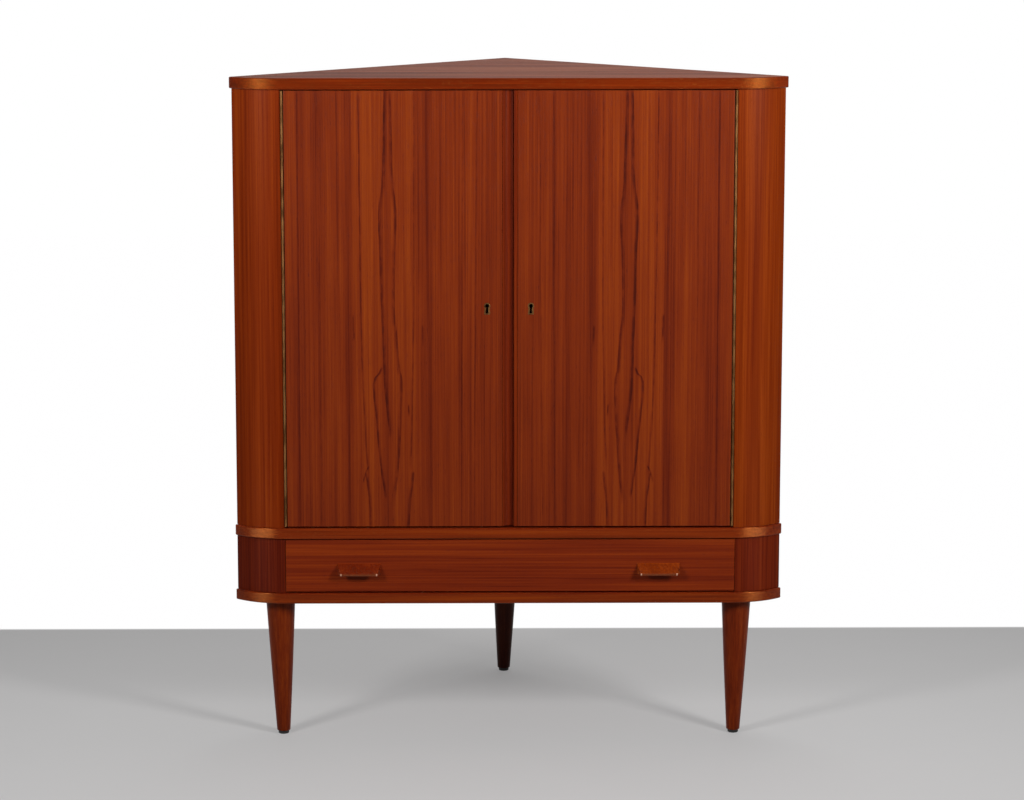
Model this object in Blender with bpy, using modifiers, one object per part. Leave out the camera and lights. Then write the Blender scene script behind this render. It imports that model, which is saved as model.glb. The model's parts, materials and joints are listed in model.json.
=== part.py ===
"""Corner bar cabinet in teak.

A triangular case with rounded front corners stands on three turned legs.
Two flat doors hang on full-length piano hinges above a full-width drawer.
Lengths are in metres, +Z is up and the front faces -Y.
"""

import math

import bmesh
import bpy
from mathutils import Vector

# Fits
GAP = 0.0003
WELD = 0.00001
OVERRUN = 0.002

# Plan of the case: a right-angled corner triangle with two front arcs
FRONT_HALF = 0.394
BODY_RADIUS = 0.125
TOP_OVERHANG = 0.006
LEDGE_OVERHANG = 0.0045
WALL_ANGLE = math.radians(45.0)
PANEL_THICKNESS = 0.018
PANEL_INSET = 0.002
LOWER_PANEL_INSET = 0.0042
BACK_INSET = 0.002
BACK_THICKNESS = 0.010
POST_WIDTH = 0.028
POST_CHAMFER = 0.012
EDGE_ROUND = 0.0015

# Heights, from the floor up
GLIDE_HEIGHT = 0.006
LEG_LENGTH = 0.244
BASE_THICKNESS = 0.019
DRAWER_OPENING = 0.098
DECK_THICKNESS = 0.019
DOOR_OPENING = 0.774
TOP_THICKNESS = 0.020

# Legs and glides
LEG_TOP_RADIUS = 0.026
LEG_FOOT_RADIUS = 0.012
LEG_BULGE = 0.0004
LEG_FOOT_ROUND = 0.001
LEG_LEAN = 0.003
LEG_INSET = 0.0485
LEG_ANGLE = math.radians(9.2)
REAR_LEG_INSET = 0.050
TENON_RADIUS = 0.012
TENON_LENGTH = 0.013
GLIDE_RADIUS = 0.0095
GLIDE_ROUND = 0.0015
GLIDE_STEM_RADIUS = 0.0015
GLIDE_STEM_LENGTH = 0.014

# Doors
DOOR_THICKNESS = 0.020
DOOR_TOP_GAP = 0.002
DOOR_BOTTOM_GAP = 0.003
DOOR_ARRIS = 0.002
MEETING_LEFT = 0.0062
MEETING_GAP = 0.003
LEFT_LIPPING_WIDTH = 0.018
RIGHT_LIPPING_WIDTH = 0.006
COVE_WIDTH = 0.0157
COVE_DEPTH = 0.0065
COVE_LOWEST_SHARE = 0.6

# Piano hinges
KNUCKLE_RADIUS = 0.0021
KNUCKLE_PROUD = 0.0005
KNUCKLE_BORE = 0.0013
PIN_RADIUS = 0.0009
LEAF_THICKNESS = 0.001
LEAF_WIDTH = 0.015
KNUCKLE_GAP = 0.0004
KNUCKLE_COUNT = 41

# Locks, keyholes and rods
KEYHOLE_X = 0.0382
KEYHOLE_Z = 0.782
KEYHOLE_RADIUS = 0.0035
KEYHOLE_NECK = 0.0034
KEYHOLE_FOOT = 0.0048
KEYHOLE_DROP = 0.0131
ESCUTCHEON_RIM = 0.0019
ESCUTCHEON_DEPTH = 0.003
ESCUTCHEON_PROUD = 0.0004
LOCK_EDGE = 0.004
LOCK_BEYOND = 0.016
LOCK_HEIGHT = 0.060
LOCK_DEPTH = 0.012
BOLT_WIDTH = 0.006
BOLT_HEIGHT = 0.014
BOLT_LENGTH = 0.026
BOLT_CLEARANCE = 0.0006
KEEPER_WIDTH = 0.014
KEEPER_HEIGHT = 0.030
KEEPER_EDGE = 0.003
ROD_RADIUS = 0.003
ROD_CLEARANCE = 0.0005
ROD_OFFSET = 0.010
ROD_END_GAP = 0.003
ROD_SOCKET = 0.012
ROD_GUIDE_WIDTH = 0.016
ROD_GUIDE_HEIGHT = 0.010
ROD_GUIDE_SETBACK = 0.030

# Door stop, shelves and shelf pins
STOP_WIDTH = 0.090
STOP_HEIGHT = 0.010
STOP_DEPTH = 0.014
SHELF_THICKNESS = 0.016
SHELF_HEIGHT = 0.262
GLASS_THICKNESS = 0.006
GLASS_HEIGHT = 0.520
SHELF_SETBACK = 0.020
SHELF_CLEARANCE = 0.0015
SHELF_CHAMFER = 0.030
SHELF_PIN_RADIUS = 0.0025
SHELF_PIN_LENGTH = 0.019
SHELF_PIN_DEPTH = 0.008
SHELF_PIN_SETBACK = 0.020
BATTEN_WIDTH = 0.014
BATTEN_HEIGHT = 0.020
BATTEN_SETBACK = 0.020

# Drawer and its runners
DRAWER_SHIFT = 0.0024
DRAWER_SIDE_GAP = 0.0012
DRAWER_FACE_GAP = 0.002
DRAWER_FRONT_THICKNESS = 0.020
DRAWER_WALL = 0.012
DRAWER_PANEL_CLEARANCE = 0.0182
DRAWER_BACK_HALF = 0.116
DRAWER_CLEARANCE = 0.008
DRAWER_WALL_HEIGHT = 0.068
DRAWER_BOTTOM_THICKNESS = 0.005
RUNNER_HEIGHT = 0.0115
RUNNER_WIDTH = 0.020
RUNNER_FROM_SIDE = 0.140
RUNNER_SETBACK = 0.004
RUNNING_GAP = 0.0005
CENTER_RUNNER_WIDTH = 0.024
RUNNER_POST_GAP = 0.061
GUIDE_WIDTH = 0.012
GUIDE_SETBACK = 0.030
GUIDE_CAP = 0.004

# Drawer pulls
PULL_FROM_END = 0.129
PULL_WIDTH = 0.076
PULL_LIP_WIDTH = 0.066
PULL_HEIGHT = 0.0195
PULL_PROJECTION = 0.018
PULL_LIP = 0.0045
PULL_DROP = 0.045
PULL_HOLLOW = 0.0095
PULL_BACK_WALL = 0.004
PULL_ROUND = 0.0006

# Facets
CORNER_STEPS = 12
LEG_STEPS = 24
LEG_RINGS = 6
SMALL_STEPS = 12
KNUCKLE_STEPS = 7
BORE_STEPS = 8

# Levels and planes worked out from the sizes above
BASE_Z = GLIDE_HEIGHT + LEG_LENGTH
DRAWER_Z = BASE_Z + BASE_THICKNESS
DECK_Z = DRAWER_Z + DRAWER_OPENING
DOOR_Z = DECK_Z + DECK_THICKNESS
TOP_Z = DOOR_Z + DOOR_OPENING
FRONT_REACH = BODY_RADIUS + max(PULL_PROJECTION + GAP, TOP_OVERHANG, LEDGE_OVERHANG)
CENTER_Y = (FRONT_REACH - FRONT_HALF) / 2
FACE_Y = CENTER_Y - BODY_RADIUS
BACK_Y = CENTER_Y + FRONT_HALF
PANEL_EDGE_X = FRONT_HALF + PANEL_INSET
LOWER_EDGE_X = FRONT_HALF + LOWER_PANEL_INSET
HINGE_X = PANEL_EDGE_X - KNUCKLE_RADIUS - GAP
HINGE_Y = FACE_Y - KNUCKLE_PROUD
DOOR_EDGE_X = HINGE_X - KNUCKLE_RADIUS - GAP
DOOR_LOW = DOOR_Z + DOOR_BOTTOM_GAP
DOOR_HIGH = TOP_Z - DOOR_TOP_GAP
DOOR_BACK_Y = FACE_Y + DOOR_THICKNESS
MEETING_RIGHT = MEETING_LEFT + MEETING_GAP
DIAGONAL = math.sqrt(2.0)
DRAWER_HALF = LOWER_EDGE_X - DRAWER_PANEL_CLEARANCE
DRAWER_LINE = CENTER_Y + FRONT_HALF
DRAWER_LINE -= (BACK_INSET + BACK_THICKNESS + DRAWER_CLEARANCE) * DIAGONAL
DRAWER_REAR_Y = DRAWER_LINE - DRAWER_BACK_HALF
RUNNER_X = DRAWER_HALF - RUNNER_FROM_SIDE
PULL_X = FRONT_HALF - PULL_FROM_END

# Colours (linear), roughness and metallic value of each finish
FINISHES = {
    "teak": ((0.190, 0.040, 0.012), 0.38, 0.0),
    "teak_veneer": ((0.165, 0.032, 0.009), 0.36, 0.0),
    "teak_dark": ((0.120, 0.024, 0.008), 0.42, 0.0),
    "beech": ((0.420, 0.240, 0.120), 0.55, 0.0),
    "plywood": ((0.400, 0.260, 0.150), 0.60, 0.0),
    "brass": ((0.420, 0.260, 0.090), 0.40, 1.0),
    "steel": ((0.420, 0.420, 0.420), 0.38, 1.0),
    "nylon": ((0.012, 0.011, 0.010), 0.50, 0.0),
    "glass": ((0.700, 0.800, 0.760), 0.05, 0.0),
}


def clear_scene():
    """Remove every object and start with an empty scene."""
    for obj in list(bpy.data.objects):
        bpy.data.objects.remove(obj, do_unlink=True)


def make_collection(name):
    """Make a collection in the scene and return it."""
    collection = bpy.data.collections.new(name)
    bpy.context.scene.collection.children.link(collection)
    return collection


def make_material(name, finish):
    """Make a Principled material from one of the finishes."""
    color, roughness, metallic = FINISHES[finish]
    material = bpy.data.materials.new(name + "_" + finish)
    material.use_nodes = True
    shader = material.node_tree.nodes["Principled BSDF"]
    shader.inputs["Base Color"].default_value = (*color, 1.0)
    shader.inputs["Roughness"].default_value = roughness
    shader.inputs["Metallic"].default_value = metallic
    return material


def place(obj, origin, parent):
    """Put an object at a world position, under a parent that isn't turned."""
    obj.parent = parent
    obj.location = Vector(origin) - (parent.location if parent else Vector())


def add_piece(name, mesh, finish, origin, parent=None, turn=None):
    """Link a mesh as one named piece of the cabinet."""
    obj = bpy.data.objects.new(name, mesh)
    PARTS.objects.link(obj)
    mesh.materials.clear()
    mesh.materials.append(make_material(name, finish))
    if turn:
        obj.rotation_euler = turn
    place(obj, origin, parent)
    return obj


def add_cutter(name, mesh, origin, turn=None):
    """Link a mesh as a cutter, which isn't part of the cabinet."""
    obj = bpy.data.objects.new(name, mesh)
    CUTTERS.objects.link(obj)
    obj.hide_render = True
    obj.display_type = "WIRE"
    if turn:
        obj.rotation_euler = turn
    obj.location = origin
    return obj


def cut(obj, cutter):
    """Cut one object with another."""
    modifier = obj.modifiers.new("cut_" + cutter.name, "BOOLEAN")
    modifier.operation = "DIFFERENCE"
    modifier.object = cutter


def bevel(obj, width, segments=2, angle=50.0):
    """Round the sharp edges of an object."""
    modifier = obj.modifiers.new("round", "BEVEL")
    modifier.width = width
    modifier.segments = segments
    modifier.limit_method = "ANGLE"
    modifier.angle_limit = math.radians(angle)


def arc(center, radius, start, end, steps):
    """Return points on an arc, both ends included."""
    angles = [start + (end - start) * step / steps for step in range(steps + 1)]
    return [
        (center[0] + radius * math.cos(a), center[1] + radius * math.sin(a))
        for a in angles
    ]


def mirrored(points):
    """Return an outline mirrored across the cabinet's middle plane."""
    return [(-x, y) for x, y in reversed(points)]


def sided(points, side):
    """Return an outline for the right side, or its mirror for the left."""
    return points if side > 0 else mirrored(points)


def flat_mesh(name, loops, thickness):
    """Extrude flat outlines into a closed mesh about its own mid plane."""
    curve = bpy.data.curves.new(name + "_outline", "CURVE")
    curve.dimensions = "2D"
    curve.fill_mode = "BOTH"
    curve.extrude = thickness / 2
    for loop in loops:
        spline = curve.splines.new("POLY")
        spline.points.add(len(loop) - 1)
        for point, (x, y) in zip(spline.points, loop):
            point.co = (x, y, 0.0, 1.0)
        spline.use_cyclic_u = True
    shape = bpy.data.objects.new(name + "_outline", curve)
    bpy.context.scene.collection.objects.link(shape)
    bpy.context.view_layer.update()
    evaluated = shape.evaluated_get(bpy.context.evaluated_depsgraph_get())
    mesh = bpy.data.meshes.new_from_object(evaluated)
    bpy.data.objects.remove(shape, do_unlink=True)
    mesh.name = name
    solid = bmesh.new()
    solid.from_mesh(mesh)
    bmesh.ops.remove_doubles(solid, verts=solid.verts, dist=WELD)
    bmesh.ops.dissolve_limit(
        solid,
        angle_limit=math.radians(0.5),
        verts=solid.verts,
        edges=solid.edges,
    )
    bmesh.ops.recalc_face_normals(solid, faces=solid.faces)
    solid.to_mesh(mesh)
    solid.free()
    return mesh


def center_of(loop):
    """Return the middle of an outline's extent."""
    xs = [x for x, _ in loop]
    ys = [y for _, y in loop]
    return (min(xs) + max(xs)) / 2, (min(ys) + max(ys)) / 2


def shifted(loop, dx, dy):
    """Return an outline moved by dx and dy."""
    return [(x + dx, y + dy) for x, y in loop]


def upright(name, loops, low, high, finish, parent=None):
    """Make a piece from a plan outline, between two heights."""
    cx, cy = center_of(loops[0])
    local = [shifted(loop, -cx, -cy) for loop in loops]
    mesh = flat_mesh(name, local, high - low)
    return add_piece(name, mesh, finish, (cx, cy, (low + high) / 2), parent)


def rectangle(x0, x1, y0, y1):
    """Return the outline of a rectangle."""
    return [(x0, y0), (x1, y0), (x1, y1), (x0, y1)]


def box_mesh(name, size):
    """Make a box mesh of the given size about its centre."""
    mesh = bpy.data.meshes.new(name)
    solid = bmesh.new()
    bmesh.ops.create_cube(solid, size=1.0)
    bmesh.ops.scale(solid, vec=size, verts=solid.verts)
    solid.to_mesh(mesh)
    solid.free()
    return mesh


def box(name, x, y, z, finish, parent=None):
    """Make a box piece from its ranges along X, Y and Z."""
    size = (x[1] - x[0], y[1] - y[0], z[1] - z[0])
    origin = ((x[0] + x[1]) / 2, (y[0] + y[1]) / 2, (z[0] + z[1]) / 2)
    return add_piece(name, box_mesh(name, size), finish, origin, parent)


def box_cutter(name, x, y, z):
    """Make a box cutter from its ranges along X, Y and Z."""
    size = (x[1] - x[0], y[1] - y[0], z[1] - z[0])
    origin = ((x[0] + x[1]) / 2, (y[0] + y[1]) / 2, (z[0] + z[1]) / 2)
    return add_cutter(name, box_mesh(name, size), origin)


def rod_mesh(name, radius, length, steps=SMALL_STEPS):
    """Make a cylinder mesh along Z about its centre."""
    mesh = bpy.data.meshes.new(name)
    solid = bmesh.new()
    bmesh.ops.create_cone(
        solid,
        cap_ends=True,
        segments=steps,
        radius1=radius,
        radius2=radius,
        depth=length,
    )
    solid.to_mesh(mesh)
    solid.free()
    return mesh


def turned(name, profile, finish, origin, parent=None):
    """Spin a profile, given top to bottom, about the Z axis."""
    mesh = bpy.data.meshes.new(name)
    solid = bmesh.new()
    verts = [solid.verts.new((r, 0.0, z)) for r, z in profile]
    for upper, lower in zip(verts, verts[1:]):
        solid.edges.new((upper, lower))
    solid.to_mesh(mesh)
    solid.free()
    obj = add_piece(name, mesh, finish, origin, parent)
    screw = obj.modifiers.new("turn", "SCREW")
    screw.steps = LEG_STEPS
    screw.render_steps = LEG_STEPS
    screw.use_merge_vertices = True
    screw.merge_threshold = WELD
    screw.use_smooth_shade = True
    return obj


def wall_point(side, along, inward):
    """Return a plan point by its distance along a wall from the rear corner."""
    x = (along - inward) / DIAGONAL
    y = BACK_Y - (along + inward) / DIAGONAL
    return side * x, y


def board_outline(overhang):
    """Return the plan of a board that stands out past the case."""
    radius = BODY_RADIUS + overhang
    right = arc((FRONT_HALF, CENTER_Y), radius, -math.pi / 2, -WALL_ANGLE, CORNER_STEPS)
    return right + [(0.0, BACK_Y)] + mirrored(right)


def panel_outline(inset, side):
    """Return the plan of a curved side panel that starts at its inset."""
    inner = BODY_RADIUS - PANEL_THICKNESS
    center = (FRONT_HALF, CENTER_Y)
    outer_start = math.asin(inset / BODY_RADIUS) - math.pi / 2
    inner_start = math.asin(inset / inner) - math.pi / 2
    outside = arc(center, BODY_RADIUS, outer_start, -WALL_ANGLE, CORNER_STEPS)
    inside = arc(center, inner, -WALL_ANGLE, inner_start, CORNER_STEPS)
    return sided(outside + inside, side)


def side_name(side):
    """Return the name of a side."""
    return "right" if side > 0 else "left"


def add_boards():
    """Make the top, deck and base boards."""
    top = upright(
        "top_board",
        [board_outline(TOP_OVERHANG)],
        TOP_Z,
        TOP_Z + TOP_THICKNESS,
        "teak",
    )
    deck = upright(
        "deck_board",
        [board_outline(LEDGE_OVERHANG)],
        DECK_Z,
        DOOR_Z,
        "teak",
    )
    base = upright(
        "base_board",
        [board_outline(LEDGE_OVERHANG)],
        BASE_Z,
        DRAWER_Z,
        "teak",
    )
    for board in (top, deck, base):
        bevel(board, EDGE_ROUND)
    return top, deck, base


def add_case(side):
    """Make the curved panels and the backs of one side."""
    label = side_name(side)
    upright(
        label + "_side_panel",
        [panel_outline(PANEL_INSET, side)],
        DOOR_Z + GAP,
        TOP_Z - GAP,
        "teak_veneer",
    )
    upright(
        label + "_lower_panel",
        [panel_outline(LOWER_PANEL_INSET + side * DRAWER_SHIFT, side)],
        DRAWER_Z + GAP,
        DECK_Z - GAP,
        "teak_veneer",
    )
    inner = BODY_RADIUS - PANEL_THICKNESS - GAP
    deep = BACK_INSET + BACK_THICKNESS
    front = FRONT_HALF * DIAGONAL + math.sqrt(inner**2 - deep**2)
    rear = BACK_INSET + POST_WIDTH + GAP
    outline = [
        wall_point(side, rear, BACK_INSET),
        wall_point(side, front, BACK_INSET),
        wall_point(side, front, deep),
        wall_point(side, rear, deep),
    ]
    back = upright(
        label + "_back_panel",
        [outline],
        DOOR_Z + GAP,
        TOP_Z - GAP,
        "teak_dark",
    )
    upright(
        label + "_lower_back",
        [outline],
        DRAWER_Z + GAP,
        DECK_Z - GAP,
        "teak_dark",
    )
    return back


def post_face():
    """Return where the rear post's chamfered front face lies along Y."""
    reach = 2 * (BACK_INSET + POST_WIDTH) - POST_CHAMFER
    return BACK_Y - reach / DIAGONAL


def add_posts():
    """Make the post in the rear corner, in two lengths."""
    low = BACK_INSET
    high = BACK_INSET + POST_WIDTH
    outline = [
        wall_point(1, low, low),
        wall_point(1, high, low),
        wall_point(1, high, high - POST_CHAMFER),
        wall_point(1, high - POST_CHAMFER, high),
        wall_point(1, low, high),
    ]
    upright("lower_corner_post", [outline], DRAWER_Z + GAP, DECK_Z - GAP, "beech")
    return upright("rear_corner_post", [outline], DOOR_Z + GAP, TOP_Z - GAP, "beech")


def leg_profile():
    """Return the turned outline of a leg, from its tenon down."""
    bore = GLIDE_STEM_RADIUS + GAP
    points = [
        (0.0, LEG_LENGTH + TENON_LENGTH - GAP),
        (TENON_RADIUS, LEG_LENGTH + TENON_LENGTH - GAP),
        (TENON_RADIUS, LEG_LENGTH - GAP),
        (LEG_TOP_RADIUS, LEG_LENGTH - GAP),
    ]
    for ring in range(1, LEG_RINGS + 1):
        share = ring / LEG_RINGS
        radius = LEG_TOP_RADIUS + (LEG_FOOT_RADIUS - LEG_TOP_RADIUS) * share
        radius += LEG_BULGE * math.sin(math.pi * share)
        height = (LEG_LENGTH - GAP) + (LEG_FOOT_ROUND - LEG_LENGTH + GAP) * share
        points.append((radius, height))
    points.append((LEG_FOOT_RADIUS - LEG_FOOT_ROUND, 0.0))
    points.append((bore, 0.0))
    points.append((bore, GLIDE_STEM_LENGTH + GAP))
    points.append((0.0, GLIDE_STEM_LENGTH + GAP))
    return points


def glide_profile():
    """Return the turned outline of a glide and its nail."""
    top = GLIDE_HEIGHT - GAP
    return [
        (0.0, GLIDE_HEIGHT + GLIDE_STEM_LENGTH - GAP),
        (GLIDE_STEM_RADIUS, GLIDE_HEIGHT + GLIDE_STEM_LENGTH - GAP),
        (GLIDE_STEM_RADIUS, top),
        (GLIDE_RADIUS, top),
        (GLIDE_RADIUS, GLIDE_ROUND),
        (GLIDE_RADIUS - GLIDE_ROUND, 0.0),
        (0.0, 0.0),
    ]


def leg_places():
    """Return the name, plan place and lean along X of each leg."""
    reach = BODY_RADIUS + LEDGE_OVERHANG - LEG_INSET
    front_x = FRONT_HALF + reach * math.sin(LEG_ANGLE)
    front_y = CENTER_Y - reach * math.cos(LEG_ANGLE)
    return [
        ("left_front", -front_x, front_y, LEG_LEAN),
        ("right_front", front_x, front_y, -LEG_LEAN),
        ("rear", 0.0, BACK_Y - REAR_LEG_INSET, -LEG_LEAN),
    ]


def lean_foot(leg, lean):
    """Move a turned leg's foot along X, its shoulder and tenon staying put."""
    bpy.context.view_layer.update()
    evaluated = leg.evaluated_get(bpy.context.evaluated_depsgraph_get())
    mesh = bpy.data.meshes.new_from_object(evaluated)
    shoulder = LEG_LENGTH - GAP
    for vertex in mesh.vertices:
        below = max(shoulder - vertex.co.z, 0.0)
        vertex.co.x += lean * below / shoulder
    leg.modifiers.clear()
    leg.data = mesh


def add_legs(base):
    """Make the three legs, their glides and the sockets above them."""
    for label, x, y, lean in leg_places():
        leg = turned(label + "_leg", leg_profile(), "teak", (x, y, GLIDE_HEIGHT))
        lean_foot(leg, lean)
        turned(label + "_glide", glide_profile(), "nylon", (x + lean, y, 0.0))
        depth = TENON_LENGTH + OVERRUN
        mesh = rod_mesh(label + "_socket", TENON_RADIUS + GAP, depth, LEG_STEPS)
        middle = BASE_Z + TENON_LENGTH - depth / 2
        cut(base, add_cutter(label + "_socket", mesh, (x, y, middle)))


def knuckle_slots():
    """Return the height range of each knuckle slot, bottom to top."""
    pitch = (DOOR_HIGH - DOOR_LOW) / KNUCKLE_COUNT
    edges = [DOOR_LOW + pitch * index for index in range(KNUCKLE_COUNT + 1)]
    return list(zip(edges, edges[1:]))


def leaf_outline(toward):
    """Return a leaf's section about the pin, its plate on one side of it."""
    plate = KNUCKLE_RADIUS - LEAF_THICKNESS
    start = 0.0
    end = math.acos(plate / KNUCKLE_RADIUS) - math.radians(360.0)
    barrel = arc((0.0, 0.0), KNUCKLE_RADIUS, start, end, KNUCKLE_STEPS)
    points = [(KNUCKLE_RADIUS, LEAF_WIDTH)] + barrel + [(plate, LEAF_WIDTH)]
    return sided(points, toward)


def add_leaf(name, side, toward, first, parent=None):
    """Make one hinge leaf and free the knuckle slots of the other leaf."""
    bore = arc((0.0, 0.0), KNUCKLE_BORE, 0.0, math.radians(360.0), BORE_STEPS)[:-1]
    mesh = flat_mesh(name, [leaf_outline(toward), bore], DOOR_HIGH - DOOR_LOW)
    origin = (side * HINGE_X, HINGE_Y, (DOOR_LOW + DOOR_HIGH) / 2)
    leaf = add_piece(name, mesh, "brass", origin, parent)
    reach = KNUCKLE_RADIUS + OVERRUN
    rear = KNUCKLE_RADIUS + GAP
    solid = bmesh.new()
    slots = knuckle_slots()
    for index, (low, high) in enumerate(slots):
        if index % 2 == first:
            continue
        low = low - KNUCKLE_GAP / 2 if index > 0 else low - OVERRUN
        last = index == len(slots) - 1
        high = high + OVERRUN if last else high + KNUCKLE_GAP / 2
        made = bmesh.ops.create_cube(solid, size=1.0)
        size = (2 * reach, reach + rear, high - low)
        bmesh.ops.scale(solid, vec=size, verts=made["verts"])
        shift = (0.0, (rear - reach) / 2, (low + high) / 2 - origin[2])
        bmesh.ops.translate(solid, vec=shift, verts=made["verts"])
    slots_mesh = bpy.data.meshes.new(name + "_slots")
    solid.to_mesh(slots_mesh)
    solid.free()
    cut(leaf, add_cutter(name + "_slots", slots_mesh, origin))
    return leaf


def add_hinge(side, door_axis):
    """Make a piano hinge: the frame leaf, the door leaf and the pin."""
    label = side_name(side)
    add_leaf(label + "_hinge_frame_leaf", side, side, 0)
    add_leaf(label + "_hinge_door_leaf", side, -side, 1, door_axis)
    middle = (DOOR_LOW + DOOR_HIGH) / 2
    mesh = rod_mesh(label + "_hinge_pin", PIN_RADIUS, DOOR_HIGH - DOOR_LOW, BORE_STEPS)
    origin = (side * HINGE_X, HINGE_Y, middle)
    add_piece(label + "_hinge_pin", mesh, "brass", origin)


def keyhole_outline(margin):
    """Return the keyhole's outline about the middle of its round head."""
    radius = KEYHOLE_RADIUS + margin
    neck = KEYHOLE_NECK / 2 + margin
    foot = KEYHOLE_FOOT / 2 + margin
    start = -math.acos(neck / radius)
    head = arc((0.0, 0.0), radius, start, math.pi - start, SMALL_STEPS)
    low = -KEYHOLE_DROP - margin
    return head + [(-foot, low), (foot, low)]


def facing(name, loops, thickness):
    """Make a mesh from an outline that faces the front."""
    return flat_mesh(name, loops, thickness)


def cut_keyhole(piece, side, low, high, margin, label):
    """Cut a keyhole outline through a piece, between two depths."""
    name = label + "_" + piece.name
    mesh = facing(name, [keyhole_outline(margin)], high - low)
    origin = (side * KEYHOLE_X, (low + high) / 2, KEYHOLE_Z)
    cutter = add_cutter(name, mesh, origin, (math.radians(90.0), 0.0, 0.0))
    cut(piece, cutter)


def add_escutcheon(side, door, axis):
    """Make the keyhole's brass thread escutcheon and its seat in the door."""
    name = side_name(side) + "_escutcheon"
    loops = [keyhole_outline(ESCUTCHEON_RIM), keyhole_outline(0.0)]
    mesh = facing(name, loops, ESCUTCHEON_DEPTH)
    front = FACE_Y - ESCUTCHEON_PROUD
    origin = (side * KEYHOLE_X, front + ESCUTCHEON_DEPTH / 2, KEYHOLE_Z)
    add_piece(name, mesh, "brass", origin, axis, (math.radians(90.0), 0.0, 0.0))
    cut_keyhole(door, side, FACE_Y - OVERRUN, DOOR_BACK_Y + OVERRUN, 0.0, "keyhole")
    seat = front + ESCUTCHEON_DEPTH + GAP
    cut_keyhole(door, side, FACE_Y - OVERRUN, seat, ESCUTCHEON_RIM + GAP, "seat")


def door_outline(side, meeting):
    """Return a door's plan, its hinge arris rounded, for the right side."""
    middle = (DOOR_EDGE_X - DOOR_ARRIS, FACE_Y + DOOR_ARRIS)
    rounded = arc(middle, DOOR_ARRIS, -math.pi / 2, 0.0, 4)
    points = [(meeting, FACE_Y)] + rounded
    points += [(DOOR_EDGE_X, DOOR_BACK_Y), (meeting, DOOR_BACK_Y)]
    return sided(points, side)


def cove_points():
    """Return the cove in the left door's edge, from its arris to the edge."""
    start_x = MEETING_LEFT - COVE_WIDTH
    lowest = COVE_WIDTH * COVE_LOWEST_SHARE
    reach = math.acos((COVE_WIDTH - lowest) / lowest)
    angles = [math.pi - (math.pi - reach) * step / 8 for step in range(9)]
    return [
        (start_x + lowest + lowest * math.cos(a), FACE_Y + COVE_DEPTH * math.sin(a))
        for a in angles
    ]


def add_left_door(axis):
    """Make the left door and its lipping with the finger cove."""
    seam = LEFT_LIPPING_WIDTH - MEETING_LEFT
    door = upright(
        "left_door",
        [door_outline(-1, seam + GAP)],
        DOOR_LOW,
        DOOR_HIGH,
        "teak_veneer",
        axis,
    )
    outline = [(-seam, FACE_Y)] + cove_points()
    outline += [(MEETING_LEFT, DOOR_BACK_Y), (-seam, DOOR_BACK_Y)]
    upright("left_door_lipping", [outline], DOOR_LOW, DOOR_HIGH, "teak", axis)
    return door


def add_right_door(axis):
    """Make the right door and its lipping."""
    seam = MEETING_RIGHT + RIGHT_LIPPING_WIDTH
    door = upright(
        "right_door",
        [door_outline(1, seam + GAP)],
        DOOR_LOW,
        DOOR_HIGH,
        "teak_veneer",
        axis,
    )
    round_middle = (MEETING_RIGHT + DOOR_ARRIS / 2, FACE_Y + DOOR_ARRIS / 2)
    arris = arc(round_middle, DOOR_ARRIS / 2, math.pi, math.pi * 1.5, 3)
    outline = [(MEETING_RIGHT, DOOR_BACK_Y)] + arris
    outline += [(seam, FACE_Y), (seam, DOOR_BACK_Y)]
    upright("right_door_lipping", [outline], DOOR_LOW, DOOR_HIGH, "teak", axis)
    return door


def lock_ranges(side):
    """Return a lock case's ranges along X, Y and Z."""
    near = MEETING_RIGHT + LOCK_EDGE
    far = KEYHOLE_X + LOCK_BEYOND
    x = sorted((side * near, side * far))
    y = (DOOR_BACK_Y + GAP, DOOR_BACK_Y + GAP + LOCK_DEPTH)
    z = (KEYHOLE_Z - LOCK_HEIGHT / 2, KEYHOLE_Z + LOCK_HEIGHT / 2)
    return x, y, z


def add_right_lock(axis, bolt_axis):
    """Make the right door's lock case and its sliding bolt."""
    x, y, z = lock_ranges(1)
    case = box("right_lock_case", x, y, z, "steel", axis)
    middle_y = (y[0] + y[1]) / 2
    bolt_x = (x[0] + GAP, x[0] + GAP + BOLT_LENGTH)
    bolt_y = (middle_y - BOLT_WIDTH / 2, middle_y + BOLT_WIDTH / 2)
    bolt_z = (KEYHOLE_Z - BOLT_HEIGHT / 2, KEYHOLE_Z + BOLT_HEIGHT / 2)
    box("right_lock_bolt", bolt_x, bolt_y, bolt_z, "brass", bolt_axis)
    channel = box_cutter(
        "right_lock_channel",
        (x[0] - OVERRUN, bolt_x[1] + GAP),
        (bolt_y[0] - BOLT_CLEARANCE, bolt_y[1] + BOLT_CLEARANCE),
        (bolt_z[0] - BOLT_CLEARANCE, bolt_z[1] + BOLT_CLEARANCE),
    )
    cut(case, channel)


def add_keeper(axis):
    """Make the keeper on the left door that takes the right door's bolt."""
    _, y, _ = lock_ranges(1)
    middle_y = (y[0] + y[1]) / 2
    high_x = MEETING_LEFT - KEEPER_EDGE
    x = (high_x - KEEPER_WIDTH, high_x)
    z = (KEYHOLE_Z - KEEPER_HEIGHT / 2, KEYHOLE_Z + KEEPER_HEIGHT / 2)
    keeper = box("left_door_keeper", x, y, z, "brass", axis)
    half_width = BOLT_WIDTH / 2 + BOLT_CLEARANCE
    half_height = BOLT_HEIGHT / 2 + BOLT_CLEARANCE
    mouth = box_cutter(
        "left_keeper_mouth",
        (x[0] - OVERRUN, x[1] + OVERRUN),
        (middle_y - half_width, middle_y + half_width),
        (KEYHOLE_Z - half_height, KEYHOLE_Z + half_height),
    )
    cut(keeper, mouth)


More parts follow.
